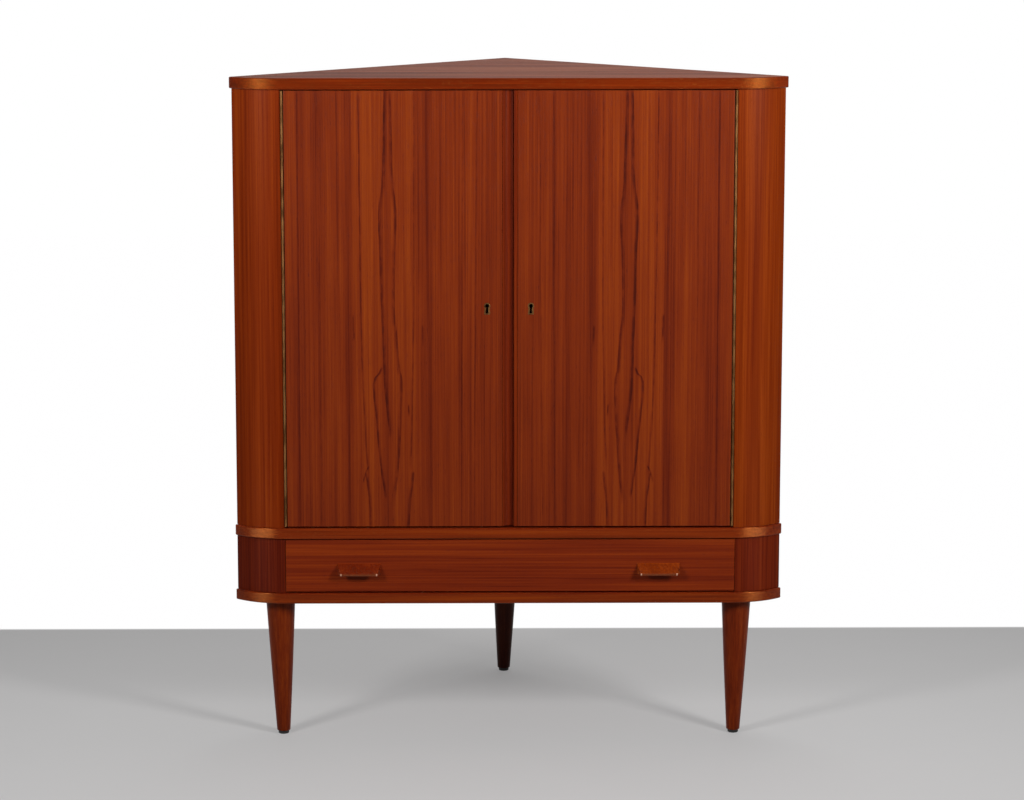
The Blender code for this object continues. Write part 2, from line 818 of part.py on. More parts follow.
def add_left_lock(axis, upper_axis, lower_axis, top, deck):
    """Make the left door's lock case, its two rods and their guides."""
    x, y, z = lock_ranges(-1)
    box("left_lock_case", x, y, z, "steel", axis)
    rod_x = -KEYHOLE_X - ROD_OFFSET
    rod_y = (y[0] + y[1]) / 2
    spans = {
        "upper": (z[1] + GAP, TOP_Z - ROD_END_GAP, upper_axis),
        "lower": (DOOR_Z + ROD_END_GAP, z[0] - GAP, lower_axis),
    }
    for label, (low, high, rod_axis) in spans.items():
        name = "left_" + label + "_rod"
        mesh = rod_mesh(name, ROD_RADIUS, high - low)
        origin = (rod_x, rod_y, (low + high) / 2)
        add_piece(name, mesh, "steel", origin, rod_axis)
    bore = rod_mesh("rod_bore", ROD_RADIUS + ROD_CLEARANCE, DOOR_HIGH - DOOR_LOW)
    middle = (DOOR_LOW + DOOR_HIGH) / 2
    bore_cutter = add_cutter("rod_bore", bore, (rod_x, rod_y, middle))
    for label, center in (
        ("upper", DOOR_HIGH - ROD_GUIDE_SETBACK),
        ("lower", DOOR_LOW + ROD_GUIDE_SETBACK),
    ):
        guide = box(
            "left_" + label + "_rod_guide",
            (rod_x - ROD_GUIDE_WIDTH / 2, rod_x + ROD_GUIDE_WIDTH / 2),
            y,
            (center - ROD_GUIDE_HEIGHT / 2, center + ROD_GUIDE_HEIGHT / 2),
            "steel",
            axis,
        )
        cut(guide, bore_cutter)
    depth = ROD_SOCKET + OVERRUN
    for board, center in (
        (top, TOP_Z + ROD_SOCKET - depth / 2),
        (deck, DOOR_Z - ROD_SOCKET + depth / 2),
    ):
        name = board.name + "_rod_socket"
        mesh = rod_mesh(name, ROD_RADIUS + ROD_CLEARANCE, depth)
        cut(board, add_cutter(name, mesh, (rod_x, rod_y, center)))


def shelf_outline():
    """Return the plan of a shelf that fits between the two backs."""
    inward = BACK_INSET + BACK_THICKNESS + SHELF_CLEARANCE
    line = FRONT_HALF - inward * DIAGONAL
    front = DOOR_BACK_Y + SHELF_SETBACK
    tip = line - (front - CENTER_Y)
    rear = post_face() - SHELF_CLEARANCE
    rear_x = line - (rear - CENTER_Y)
    right = [
        (tip - SHELF_CHAMFER, front),
        (tip - SHELF_CHAMFER / DIAGONAL, front + SHELF_CHAMFER / DIAGONAL),
        (rear_x, rear),
    ]
    return right + mirrored(right)


def add_shelf_pin(name, target, point, turn, height):
    """Make a pin set square into a surface at a plan point, and its hole."""
    lay = (math.radians(90.0), 0.0, turn)
    toward = Vector((math.sin(turn), -math.cos(turn), 0.0))
    face = Vector((*point, height))
    middle = face + toward * (SHELF_PIN_LENGTH / 2 - SHELF_PIN_DEPTH)
    mesh = rod_mesh(name, SHELF_PIN_RADIUS, SHELF_PIN_LENGTH)
    add_piece(name, mesh, "brass", middle, None, lay)
    depth = SHELF_PIN_DEPTH + GAP + OVERRUN
    mesh = rod_mesh(name + "_hole", SHELF_PIN_RADIUS + GAP, depth)
    middle = face + toward * (OVERRUN - depth / 2)
    cut(target, add_cutter(name + "_hole", mesh, middle, lay))


def add_shelves(backs, post):
    """Make the two shelves and what they rest on."""
    wood = DOOR_Z + SHELF_HEIGHT
    glass = DOOR_Z + GLASS_HEIGHT
    outline = [shelf_outline()]
    upright("wooden_shelf", outline, wood, wood + SHELF_THICKNESS, "teak")
    upright("glass_shelf", outline, glass, glass + GLASS_THICKNESS, "glass")
    deep = BACK_INSET + BACK_THICKNESS
    wall_end = FRONT_HALF * DIAGONAL
    low = deep + GAP
    high = low + BATTEN_WIDTH
    rear = BACK_INSET + POST_WIDTH + BATTEN_SETBACK
    front = wall_end - BATTEN_SETBACK
    height = glass - GAP - SHELF_PIN_RADIUS
    for side, back in backs.items():
        label = side_name(side)
        batten = [
            wall_point(side, rear, low),
            wall_point(side, front, low),
            wall_point(side, front, high),
            wall_point(side, rear, high),
        ]
        upright(
            label + "_shelf_batten",
            [batten],
            wood - GAP - BATTEN_HEIGHT,
            wood - GAP,
            "beech",
        )
        point = wall_point(side, wall_end - SHELF_PIN_SETBACK, deep)
        add_shelf_pin(label + "_shelf_pin", back, point, -side * WALL_ANGLE, height)
    add_shelf_pin("rear_shelf_pin", post, (0.0, post_face()), 0.0, height)


def add_door_stop():
    """Make the stop under the top board that the closed doors meet."""
    box(
        "door_stop",
        (-STOP_WIDTH / 2 + MEETING_LEFT, STOP_WIDTH / 2 + MEETING_LEFT),
        (DOOR_BACK_Y + GAP, DOOR_BACK_Y + GAP + STOP_DEPTH),
        (TOP_Z - GAP - STOP_HEIGHT, TOP_Z - GAP),
        "teak",
    )


def add_runners():
    """Make the three runners that carry the drawer."""
    z = (DRAWER_Z + GAP, DRAWER_Z + RUNNER_HEIGHT)
    high = (DRAWER_Z + GAP, DRAWER_Z + RUNNER_HEIGHT + GUIDE_CAP)
    front = FACE_Y + DRAWER_FRONT_THICKNESS + RUNNER_SETBACK
    inward = (BACK_INSET + BACK_THICKNESS + GAP) * DIAGONAL
    line = FRONT_HALF - inward + CENTER_Y
    for side in (-1, 1):
        near = RUNNER_X - RUNNER_WIDTH / 2
        far = RUNNER_X + RUNNER_WIDTH / 2
        outline = [(near, front), (far, front), (far, line - far), (near, line - near)]
        upright(side_name(side) + "_runner", [sided(outline, side)], *high, "beech")
    half = CENTER_RUNNER_WIDTH / 2
    rear = post_face() - RUNNER_POST_GAP
    outline = rectangle(-half, half, front, rear)
    upright("center_runner", [outline], *z, "beech")


def drawer_walls():
    """Return the plan of each drawer wall, its corners mitred."""
    front = FACE_Y + DRAWER_FRONT_THICKNESS + GAP
    half = GAP / 2

    def corners(offset):
        """Return the side, tail and back corners of one face of the walls."""
        line = DRAWER_LINE - offset * DIAGONAL
        x = DRAWER_HALF - offset
        back = DRAWER_REAR_Y - offset
        return (x, front), (x, line - x), (line - back, back)

    outer = corners(0.0)
    inner = corners(DRAWER_WALL)
    step = half / DIAGONAL
    side = [
        outer[0],
        (outer[1][0], outer[1][1] - half),
        (inner[1][0], inner[1][1] - half),
        inner[0],
    ]
    tail = [
        (outer[1][0] - step, outer[1][1] + step),
        (outer[2][0] + step, outer[2][1] - step),
        (inner[2][0] + step, inner[2][1] - step),
        (inner[1][0] - step, inner[1][1] + step),
    ]
    back = [
        (outer[2][0] - half, outer[2][1]),
        (half - outer[2][0], outer[2][1]),
        (half - inner[2][0], inner[2][1]),
        (inner[2][0] - half, inner[2][1]),
    ]
    bottom = list(outer) + mirrored(outer)
    return side, tail, back, bottom


def add_drawer(axis):
    """Make the drawer: front, mitred walls, bottom and guides."""
    half_front = LOWER_EDGE_X - DRAWER_SIDE_GAP
    front = box(
        "drawer_front",
        (DRAWER_SHIFT - half_front, DRAWER_SHIFT + half_front),
        (FACE_Y, FACE_Y + DRAWER_FRONT_THICKNESS),
        (DRAWER_Z + DRAWER_FACE_GAP, DECK_Z - DRAWER_FACE_GAP),
        "teak_veneer",
        axis,
    )
    bevel(front, PULL_ROUND, 1)
    side, tail, back, bottom = drawer_walls()
    low = DRAWER_Z + RUNNER_HEIGHT + RUNNING_GAP + GUIDE_CAP
    top = low + DRAWER_BOTTOM_THICKNESS
    upright("drawer_bottom", [bottom], low, top, "plywood", axis)
    z = (top + GAP, top + GAP + DRAWER_WALL_HEIGHT)
    for hand in (-1, 1):
        label = side_name(hand)
        upright("drawer_" + label + "_side", [sided(side, hand)], *z, "beech", axis)
        upright("drawer_" + label + "_tail", [sided(tail, hand)], *z, "beech", axis)
    upright("drawer_back", [back], *z, "beech", axis)
    near = CENTER_RUNNER_WIDTH / 2 + RUNNING_GAP
    far = near + GUIDE_WIDTH
    floor = DRAWER_Z + RUNNING_GAP
    groove = DRAWER_Z + RUNNER_HEIGHT + RUNNING_GAP
    start = FACE_Y + DRAWER_FRONT_THICKNESS + RUNNER_SETBACK
    end = DRAWER_REAR_Y - GUIDE_SETBACK
    guide = box(
        "drawer_guide",
        (-far, far),
        (start, end),
        (floor, low - GAP),
        "beech",
        axis,
    )
    cut(
        guide,
        box_cutter(
            "guide_groove",
            (-near, near),
            (start - OVERRUN, end + OVERRUN),
            (floor - OVERRUN, groove),
        ),
    )


def pull_profile():
    """Return a pull's section: depth from the drawer front, then height."""
    wall = PULL_BACK_WALL
    lip_inner = PULL_PROJECTION - PULL_LIP / 2
    middle = (wall + lip_inner) / 2
    reach = (lip_inner - wall) / 2
    hollow = [
        (middle - reach * math.cos(a), PULL_HOLLOW * math.sin(a))
        for a in (math.pi * step / 8 for step in range(9))
    ]
    front = [
        (PULL_PROJECTION, PULL_ROUND),
        (PULL_PROJECTION, PULL_LIP),
        (0.0, PULL_HEIGHT),
        (0.0, 0.0),
    ]
    return [(-depth, height) for depth, height in hollow + front]


def add_pull(side, axis):
    """Make one sculpted pull, its ends cut slanting toward the lip."""
    name = side_name(side) + "_pull"
    mesh = flat_mesh(name, [pull_profile()], PULL_WIDTH)
    solid = bmesh.new()
    solid.from_mesh(mesh)
    slant = (PULL_WIDTH - PULL_LIP_WIDTH) / 2
    for hand in (-1, 1):
        edge = Vector((-PULL_PROJECTION, 0.0, hand * (PULL_WIDTH / 2 - slant)))
        normal = Vector((-slant, 0.0, hand * PULL_PROJECTION)).normalized()
        bmesh.ops.bisect_plane(
            solid,
            geom=list(solid.verts) + list(solid.edges) + list(solid.faces),
            dist=WELD / 10,
            plane_co=edge,
            plane_no=normal,
            clear_outer=True,
        )
        rim = [e for e in solid.edges if e.is_boundary]
        bmesh.ops.holes_fill(solid, edges=rim, sides=0)
    bmesh.ops.recalc_face_normals(solid, faces=solid.faces)
    solid.to_mesh(mesh)
    solid.free()
    origin = (side * PULL_X, FACE_Y - GAP, DECK_Z - PULL_DROP - PULL_HEIGHT)
    turn = (math.radians(90.0), 0.0, math.radians(90.0))
    add_piece(name, mesh, "teak", origin, axis, turn)


def add_axis(name, origin, parent=None):
    """Make an empty on a joint's axis, which carries the moving pieces."""
    empty = bpy.data.objects.new(name, None)
    PARTS.objects.link(empty)
    place(empty, origin, parent)
    return empty


def build():
    """Build the whole cabinet."""
    top, deck, base = add_boards()
    backs = {side: add_case(side) for side in (-1, 1)}
    post = add_posts()
    add_legs(base)
    add_door_stop()
    add_shelves(backs, post)
    add_runners()

    left_axis = add_axis("left_door_axis", (-HINGE_X, HINGE_Y, 0.0))
    right_axis = add_axis("right_door_axis", (HINGE_X, HINGE_Y, 0.0))
    left_door = add_left_door(left_axis)
    right_door = add_right_door(right_axis)
    for side, door, axis in ((-1, left_door, left_axis), (1, right_door, right_axis)):
        add_hinge(side, axis)
        add_escutcheon(side, door, axis)
    add_right_lock(right_axis, right_axis)
    add_keeper(left_axis)
    add_left_lock(left_axis, left_axis, left_axis, top, deck)

    drawer_axis = add_axis("drawer_axis", (0.0, FACE_Y, DRAWER_Z))
    add_drawer(drawer_axis)
    for side in (-1, 1):
        add_pull(side, drawer_axis)


clear_scene()
PARTS = make_collection("corner_bar_cabinet")
CUTTERS = make_collection("cutters")
build()
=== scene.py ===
"""Corner bar cabinet in teak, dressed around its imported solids.

Lengths are in metres, +Z is up and the front faces -Y, as in the frame.
"""

import json
import logging
import math
from dataclasses import dataclass, replace
from enum import Enum
from typing import Callable, Sequence, Union

import bmesh
import bpy
from mathutils import Matrix, Vector

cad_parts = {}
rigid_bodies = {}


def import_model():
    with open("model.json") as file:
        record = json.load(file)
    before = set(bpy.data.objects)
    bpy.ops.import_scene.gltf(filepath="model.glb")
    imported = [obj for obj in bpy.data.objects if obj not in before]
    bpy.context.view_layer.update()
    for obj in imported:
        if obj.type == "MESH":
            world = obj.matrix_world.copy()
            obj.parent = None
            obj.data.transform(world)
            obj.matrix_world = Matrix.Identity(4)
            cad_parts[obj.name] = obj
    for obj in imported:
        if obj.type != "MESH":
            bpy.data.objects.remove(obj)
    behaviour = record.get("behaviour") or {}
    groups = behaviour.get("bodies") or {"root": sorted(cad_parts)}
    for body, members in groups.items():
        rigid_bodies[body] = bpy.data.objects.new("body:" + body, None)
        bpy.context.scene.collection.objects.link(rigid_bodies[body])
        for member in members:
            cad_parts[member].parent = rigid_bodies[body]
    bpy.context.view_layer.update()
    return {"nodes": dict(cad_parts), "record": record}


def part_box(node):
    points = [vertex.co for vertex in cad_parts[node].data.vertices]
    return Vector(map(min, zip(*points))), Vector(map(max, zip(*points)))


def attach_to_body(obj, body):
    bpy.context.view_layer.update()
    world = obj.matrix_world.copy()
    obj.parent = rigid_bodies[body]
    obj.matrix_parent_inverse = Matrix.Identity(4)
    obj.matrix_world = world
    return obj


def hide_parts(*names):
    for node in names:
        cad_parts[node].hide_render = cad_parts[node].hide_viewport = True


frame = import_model()
LOG = logging.getLogger("corner_cabinet")

WELD = 0.00001
SEED_PLANE = 0.01
SMOOTH_ANGLE = math.radians(32.0)
SQUARE_ONLY = math.radians(40.0)
DIAGONAL = math.sqrt(2.0)
OILED_SPECULAR = 0.11
NOISE_ROUGHNESS = 0.55
NO_OFFSET = (0.0, 0.0, 0.0)

Color = tuple[float, float, float]
Point = tuple[float, float, float]
Ring = tuple[Point, float]
Socket = bpy.types.NodeSocket
Value = Union[float, tuple[float, ...], Socket]


class Slot(Enum):
    """The record's material slots."""

    VENEER = "teak_veneer"
    TEAK = "teak"
    DARK = "teak_dark"
    BEECH = "beech"
    PLYWOOD = "plywood"
    BRASS = "brass"
    STEEL = "steel"
    NYLON = "nylon"
    GLASS = "glass"


class Axis(Enum):
    """The three axes, by their place in a coordinate."""

    X = 0
    Y = 1
    Z = 2


class Side(Enum):
    """The cabinet's left and right, seen from its front."""

    LEFT = -1
    RIGHT = 1

    @property
    def label(self) -> str:
        """Return the side's name as the nodes spell it."""
        return self.name.lower()


# Modelling tools


def select_only(*pieces: bpy.types.Object) -> None:
    """Leave object mode and select these pieces only, the first one active."""
    if bpy.context.object and bpy.context.object.mode != "OBJECT":
        bpy.ops.object.mode_set(mode="OBJECT")
    bpy.ops.object.select_all(action="DESELECT")
    for piece in pieces:
        piece.select_set(True)
    if pieces:
        bpy.context.view_layer.objects.active = pieces[0]


def open_piece(piece: bpy.types.Object) -> bmesh.types.BMesh:
    """Select one piece, enter edit mode and return its edit mesh."""
    select_only(piece)
    bpy.ops.object.mode_set(mode="EDIT")
    return bmesh.from_edit_mesh(piece.data)


def close_piece(piece: bpy.types.Object) -> bpy.types.Object:
    """Weld a piece, turn its faces outwards and shade its shallow angles smooth.

    Args:
        piece: the mesh object being modelled.

    Returns:
        The same piece, in object mode with its place in its mesh.
    """
    if piece.mode != "EDIT":
        open_piece(piece)
    bpy.ops.mesh.select_mode(type="VERT")
    bpy.ops.mesh.select_all(action="SELECT")
    bpy.ops.mesh.remove_doubles(threshold=WELD)
    bpy.ops.mesh.normals_make_consistent(inside=False)
    select_only(piece)
    bpy.ops.object.transform_apply(location=True, rotation=True, scale=True)
    bpy.ops.object.shade_smooth_by_angle(angle=SMOOTH_ANGLE)
    return piece


def is_upright(way: Vector) -> bool:
    """Return whether a direction is within 60 degrees of upright."""
    return abs(way.z) > 0.5


def bevel_edges(
    piece: bpy.types.Object,
    width: float,
    wanted: Callable[[Vector, Vector], bool],
    segments: int = 2,
    least_angle: float = math.radians(25.0),
) -> None:
    """Round the sharp edges of a piece that a test picks.

    Args:
        piece: the mesh object.
        width: the bevel's width.
        wanted: takes an edge's middle and direction, and says if it is cut.
        segments: the number of facets across the bevel.
        least_angle: edges between flatter faces than this are left alone.
    """
    mesh = open_piece(piece)
    bpy.ops.mesh.select_mode(type="EDGE")
    bpy.ops.mesh.select_all(action="DESELECT")
    mesh.edges.ensure_lookup_table()
    found = False
    for edge in mesh.edges:
        sharp = len(edge.link_faces) == 2 and edge.calc_face_angle(0.0) > least_angle
        start, end = (vert.co for vert in edge.verts)
        if sharp and wanted((start + end) / 2, (end - start).normalized()):
            edge.select_set(True)
            found = True
    bmesh.update_edit_mesh(piece.data)
    if found:
        bpy.ops.mesh.bevel(offset=width, segments=segments, affect="EDGES")


def extrude(step: Point) -> None:
    """Extrude what is selected in edit mode."""
    bpy.ops.mesh.extrude_region_move(TRANSFORM_OT_translate={"value": step})


def slice_piece(
    piece: bpy.types.Object, place: Point, normal: Vector, cut_off: bool
) -> None:
    """Cut a piece's faces along a plane.

    Args:
        piece: the mesh object.
        place: a point on the plane.
        normal: the plane's direction.
        cut_off: whether the side toward the normal is removed and the cut filled.
    """
    open_piece(piece)
    bpy.ops.mesh.select_all(action="SELECT")
    bpy.ops.mesh.bisect(
        plane_co=place,
        plane_no=normal.normalized(),
        use_fill=cut_off,
        clear_outer=cut_off,
        threshold=WELD / 10,
    )


def bore(
    piece: bpy.types.Object, middle: Point, radius: float, depth: float, steps: int = 32
) -> None:
    """Cut an upright round hole into a piece.

    Args:
        piece: the mesh object.
        middle: the middle of the hole.
        radius: the hole's radius.
        depth: the hole's height.
        steps: the number of sides round the hole.
    """
    select_only()
    bpy.ops.mesh.primitive_cylinder_add(
        vertices=steps, radius=radius, depth=depth, location=middle
    )
    cutter = bpy.context.object
    select_only(piece)
    cut = piece.modifiers.new("bore", "BOOLEAN")
    cut.operation = "DIFFERENCE"
    cut.object = cutter
    bpy.ops.object.modifier_apply(modifier=cut.name)
    bpy.data.objects.remove(cutter)


class Pen:
    """Draws an outline in edit mode by extruding and spinning one vertex."""

    def __init__(self, name: str, start: Point) -> None:
        """Start a piece from one vertex.

        Args:
            name: the new piece's name.
            start: where the outline begins.
        """
        select_only()
        bpy.ops.mesh.primitive_plane_add(size=SEED_PLANE, location=start)
        self.piece = bpy.context.object
        self.piece.name = self.piece.data.name = name
        bpy.ops.object.transform_apply(location=True, rotation=True, scale=True)
        bpy.ops.object.mode_set(mode="EDIT")
        bpy.ops.mesh.select_mode(type="VERT")
        bpy.ops.mesh.select_all(action="SELECT")
        bpy.ops.mesh.merge(type="CENTER")
        self.place = Vector(start)

    def lift(self, start: Point) -> "Pen":
        """Start a further outline in the same piece."""
        bpy.ops.mesh.select_all(action="DESELECT")
        bpy.ops.mesh.primitive_plane_add(size=SEED_PLANE, location=start)
        bpy.ops.mesh.merge(type="CENTER")
        self.place = Vector(start)
        return self

    def line(self, *points: Point) -> "Pen":
        """Extrude the vertex to each point in turn."""
        for point in points:
            step = Vector(point) - self.place
            bpy.ops.mesh.extrude_vertices_move(TRANSFORM_OT_translate={"value": step})
            self.place = Vector(point)
        return self

    def arc(
        self, center: Point, angle: float, steps: int, axis: Point = (0, 0, 1)
    ) -> "Pen":
        """Spin the vertex about an axis.

        Args:
            center: a point on the axis.
            angle: the turn, positive to the left about the axis.
            steps: the number of edges in the arc.
            axis: the axis' direction.

        Returns:
            The pen, at the end of the arc.
        """
        bpy.ops.mesh.spin(steps=steps, angle=-angle, center=center, axis=axis)
        turn = Matrix.Rotation(angle, 3, Vector(axis))
        self.place = Vector(center) + turn @ (self.place - Vector(center))
        return self

    def fill(self, hollow: bool = False) -> None:
        """Close the outline drawn last and fill it.

        Args:
            hollow: whether every outline so far bounds one face with holes.
        """
        if hollow:
            bpy.ops.mesh.select_all(action="SELECT")
        else:
            bpy.ops.mesh.select_linked()
        bpy.ops.mesh.remove_doubles(threshold=WELD)
        if hollow:
            bpy.ops.mesh.fill(use_beauty=False)
        else:
            bpy.ops.mesh.edge_face_add()

    def solid(self, step: Point, hollow: bool = False) -> bpy.types.Object:
        """Fill the outline, extrude it and close the piece.

        Args:
            step: the way and length of the extrusion.
            hollow: whether the outline has a hole in it.

        Returns:
            The closed piece.
        """
        self.fill(hollow)
        extrude(step)
        return close_piece(self.piece)


def turned_rings(
    name: str, rings: Sequence[Ring], steps: int
) -> bpy.types.Object:
    """Model a turned piece from a disc, ring after ring.

    Args:
        name: the new piece's name.
        rings: the middle and radius of each ring, from one end to the other.
        steps: the number of sides round the piece.

    Returns:
        The closed piece.
    """
    select_only()
    middle, radius = rings[0]
    bpy.ops.mesh.primitive_circle_add(
        vertices=steps, radius=radius, fill_type="NGON", location=middle
    )
    piece = bpy.context.object
    piece.name = piece.data.name = name
    bpy.ops.object.transform_apply(location=True, rotation=True, scale=True)
    bpy.ops.object.mode_set(mode="EDIT")
    bpy.ops.mesh.select_mode(type="FACE")
    bpy.ops.mesh.select_all(action="SELECT")
    place, size = Vector(middle), radius
    for middle, radius in rings[1:]:
        extrude(Vector(middle) - place)
        share = radius / size
        bpy.ops.transform.resize(value=(share, share, 1.0), center_override=middle)
        place, size = Vector(middle), radius
    return close_piece(piece)


def attach(
    piece: bpy.types.Object,
    body: str,
    slot: Slot,
    material: bpy.types.Material,
    *nodes: str,
) -> None:
    """Give a finished piece its material and body, and hide the nodes it replaces."""
    piece.data.materials.clear()
    piece.data.materials.append(material)
    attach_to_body(piece, body)
    if nodes:
        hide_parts(*nodes)
    LOG.info("piece %s: %d faces", piece.name, len(piece.data.polygons))


def finish_faces(
    piece: bpy.types.Object,
    material: bpy.types.Material,
    wanted: Callable[[Vector], bool],
) -> None:
    """Give a second material to the faces whose normals a test picks."""
    piece.data.materials.append(material)
    for face in piece.data.polygons:
        face.material_index = int(wanted(face.normal))


def place_object(
    name: str, data: Union[bpy.types.Camera, bpy.types.Light], place: Point, turn: Matrix
) -> bpy.types.Object:
    """Add a camera or light to the scene, turned and then moved."""
    item = bpy.data.objects.new(name, data)
    bpy.context.scene.collection.objects.link(item)
    item.matrix_world = Matrix.Translation(place) @ turn
    return item


# Node trees for the finishes and the studio


class Tree:
    """A node tree, with one short method for each node used."""

    def __init__(self, tree: bpy.types.NodeTree) -> None:
        """Empty the tree to start it anew."""
        self.tree = tree
        self.tree.nodes.clear()

    def link(self, source: Value, target: Socket) -> None:
        """Link a socket, or set the value of the socket it would go to."""
        if isinstance(source, bpy.types.NodeSocket):
            self.tree.links.new(source, target)
        else:
            target.default_value = source

    def fill(self, node: bpy.types.Node, **inputs: Value) -> None:
        """Link or set some inputs of a node, with _ for each space."""
        for name, value in inputs.items():
            self.link(value, node.inputs[name.replace("_", " ")])

    def add(self, kind: str, **inputs: Value) -> bpy.types.Node:
        """Add a node of a kind and link or set its inputs."""
        node = self.tree.nodes.new("ShaderNode" + kind)
        self.fill(node, **inputs)
        return node

    def axis(self, vector: Socket, axis: Axis) -> Socket:
        """Return one coordinate of a vector."""
        return self.add("SeparateXYZ", Vector=vector).outputs[axis.value]

    def math(self, operation: str, *values: Value, clamp: bool = False) -> Socket:
        """Return the result of a math node."""
        node = self.add("Math")
        node.operation = operation
        node.use_clamp = clamp
        for value, target in zip(values, node.inputs):
            self.link(value, target)
        return node.outputs["Value"]

    def product(self, first: Value, *others: Value) -> Socket:
        """Return a product of values."""
        for other in others:
            first = self.math("MULTIPLY", first, other)
        return first

    def highest(self, first: Value, *others: Value) -> Socket:
        """Return the highest of some values."""
        for other in others:
            first = self.math("MAXIMUM", first, other)
        return first

    def total(self, *parts: tuple[Value, float]) -> Socket:
        """Return a sum of values, each times its own weight."""
        result: Value = 0.0
        for value, weight in parts:
            result = self.math("MULTIPLY_ADD", value, weight, result)
        return result


class Sheet(Tree):
    """A material's node tree, over the coordinates of its piece."""

    def __init__(self, name: str) -> None:
        """Start a material that holds one shader and its output."""
        self.material = bpy.data.materials.new(name)
        self.material.use_nodes = True
        super().__init__(self.material.node_tree)
        self.shader = self.add("BsdfPrincipled")
        self.output = self.add("OutputMaterial", Surface=self.shader.outputs["BSDF"])
        self.coords = self.add("TexCoord").outputs["Object"]

    def set(self, **values: Value) -> None:
        """Link or set the shader's inputs, with _ for each space."""
        self.fill(self.shader, **values)

    def place(self, axis: Axis) -> Socket:
        """Return the piece's coordinate along an axis."""
        return self.axis(self.coords, axis)

    def noise(
        self, scale: Point, offset: Point = NO_OFFSET, detail: float = 3.0
    ) -> Socket:
        """Return noise over the piece, as a value about one half.

        Args:
            scale: the number of cells in a metre along each axis.
            offset: how far the noise is moved, in cells.
            detail: the number of finer layers in it.

        Returns:
            The noise's value.
        """
        node = self.add("Mapping", Vector=self.coords, Location=offset, Scale=scale)
        spots = self.add("TexNoise", Vector=node.outputs["Vector"], Scale=1.0)
        self.fill(spots, Detail=detail, Roughness=NOISE_ROUGHNESS)
        return spots.outputs["Fac"]

    def step(self, value: Value, low: float, high: float) -> Socket:
        """Return a smooth step from 0 at low to 1 at high."""
        node = self.add("MapRange", Value=value, From_Min=low, From_Max=high)
        node.interpolation_type = "SMOOTHSTEP"
        return node.outputs["Result"]

    def ramp(self, value: Value, stops: Sequence[tuple[float, Color]]) -> Socket:
        """Return a colour ramp over a value."""
        node = self.add("ValToRGB", Fac=value)
        elements = node.color_ramp.elements
        while len(elements) < len(stops):
            elements.new(0.5)
        for element, (place, color) in zip(elements, stops):
            element.position = place
            element.color = (*color, 1.0)
        return node.outputs["Color"]

    def curve(
        self, value: Value, points: Sequence[tuple[float, float]], smooth: bool = True
    ) -> Socket:
        """Return a drawn curve over a value.

        Args:
            value: the value along the curve.
            points: value and height pairs, in order.
            smooth: whether the curve is rounded at its points.

        Returns:
            The curve's height, held level past its ends.
        """
        xs, ys = zip(*points)
        low, high, floor = xs[0], xs[-1], min(ys)
        rise = max(max(ys) - floor, WELD)
        share = self.add("MapRange", Value=value, From_Min=low, From_Max=high)
        node = self.add("FloatCurve", Value=share.outputs["Result"])
        drawn = node.mapping.curves[0].points
        while len(drawn) < len(points):
            drawn.new(0.5, 0.5)
        for spot, (x, y) in zip(drawn, points):
            spot.location = ((x - low) / (high - low), (y - floor) / rise)
            spot.handle_type = "AUTO_CLAMPED" if smooth else "VECTOR"
        node.mapping.update()
        return self.math("MULTIPLY_ADD", node.outputs["Value"], rise, floor)

    def mix(
        self, share: Value, first: Union[Socket, Color], second: Union[Socket, Color]
    ) -> Socket:
        """Return a mix of two colours."""
        node = self.add("Mix")
        node.data_type = "RGBA"
        self.link(share, node.inputs[0])
        for color, target in ((first, node.inputs[6]), (second, node.inputs[7])):
            known = isinstance(color, bpy.types.NodeSocket)
            self.link(color if known else (*color, 1.0), target)
        return node.outputs[2]

    def bump(self, height: Socket, depth: float, strength: float = 1.0) -> Socket:
        """Return a normal from a height of 0 to 1 times a depth."""
        node = self.add("Bump", Height=height, Strength=strength, Distance=depth)
        return node.outputs["Normal"]

    def edges(self, radius: float) -> Socket:
        """Return 0 on flat faces and up to 1 on edges and corners."""
        dot = self.add("VectorMath")
        dot.operation = "DOT_PRODUCT"
        rounded = self.add("Bevel", Radius=radius)
        self.link(rounded.outputs["Normal"], dot.inputs[0])
        self.link(self.add("NewGeometry").outputs["Normal"], dot.inputs[1])
        return self.math("SUBTRACT", 1.0, dot.outputs["Value"], clamp=True)


def shaded(color: Color, share: float, rise: float = 0.0) -> Color:
    """Return a colour times a share, raised, with no channel over 1."""
    return tuple(min(1.0, value * share + rise) for value in color)


@dataclass(frozen=True)
class Layer:
    """One layer of streaks in wood: its cells' size, its shift and weight."""

    across: float
    along: float
    shift: float
    weight: float = 1.0


@dataclass(frozen=True)
class Surface:
    """How light grain and pores change the roughness and the relief of wood."""

    light_gloss: float
    pore_roughness: float
    pore_depth: float
    grain_height: float
    relief: float = 0.0001

    def rough(self, sheet: Sheet, tone: Socket, pore: Socket, base: float) -> Socket:
        """Return the roughness about a base value."""
        return sheet.total(
            (tone, -self.light_gloss), (pore, self.pore_roughness), (base, 1.0)
        )

    def normal(self, sheet: Sheet, grain: Socket, pore: Socket) -> Socket:
        """Return the normal of the grain with its pores."""
        height = sheet.total(
            (pore, -self.pore_depth), (grain, self.grain_height), (1.0, self.pore_depth)
        )
        return sheet.bump(height, self.relief)


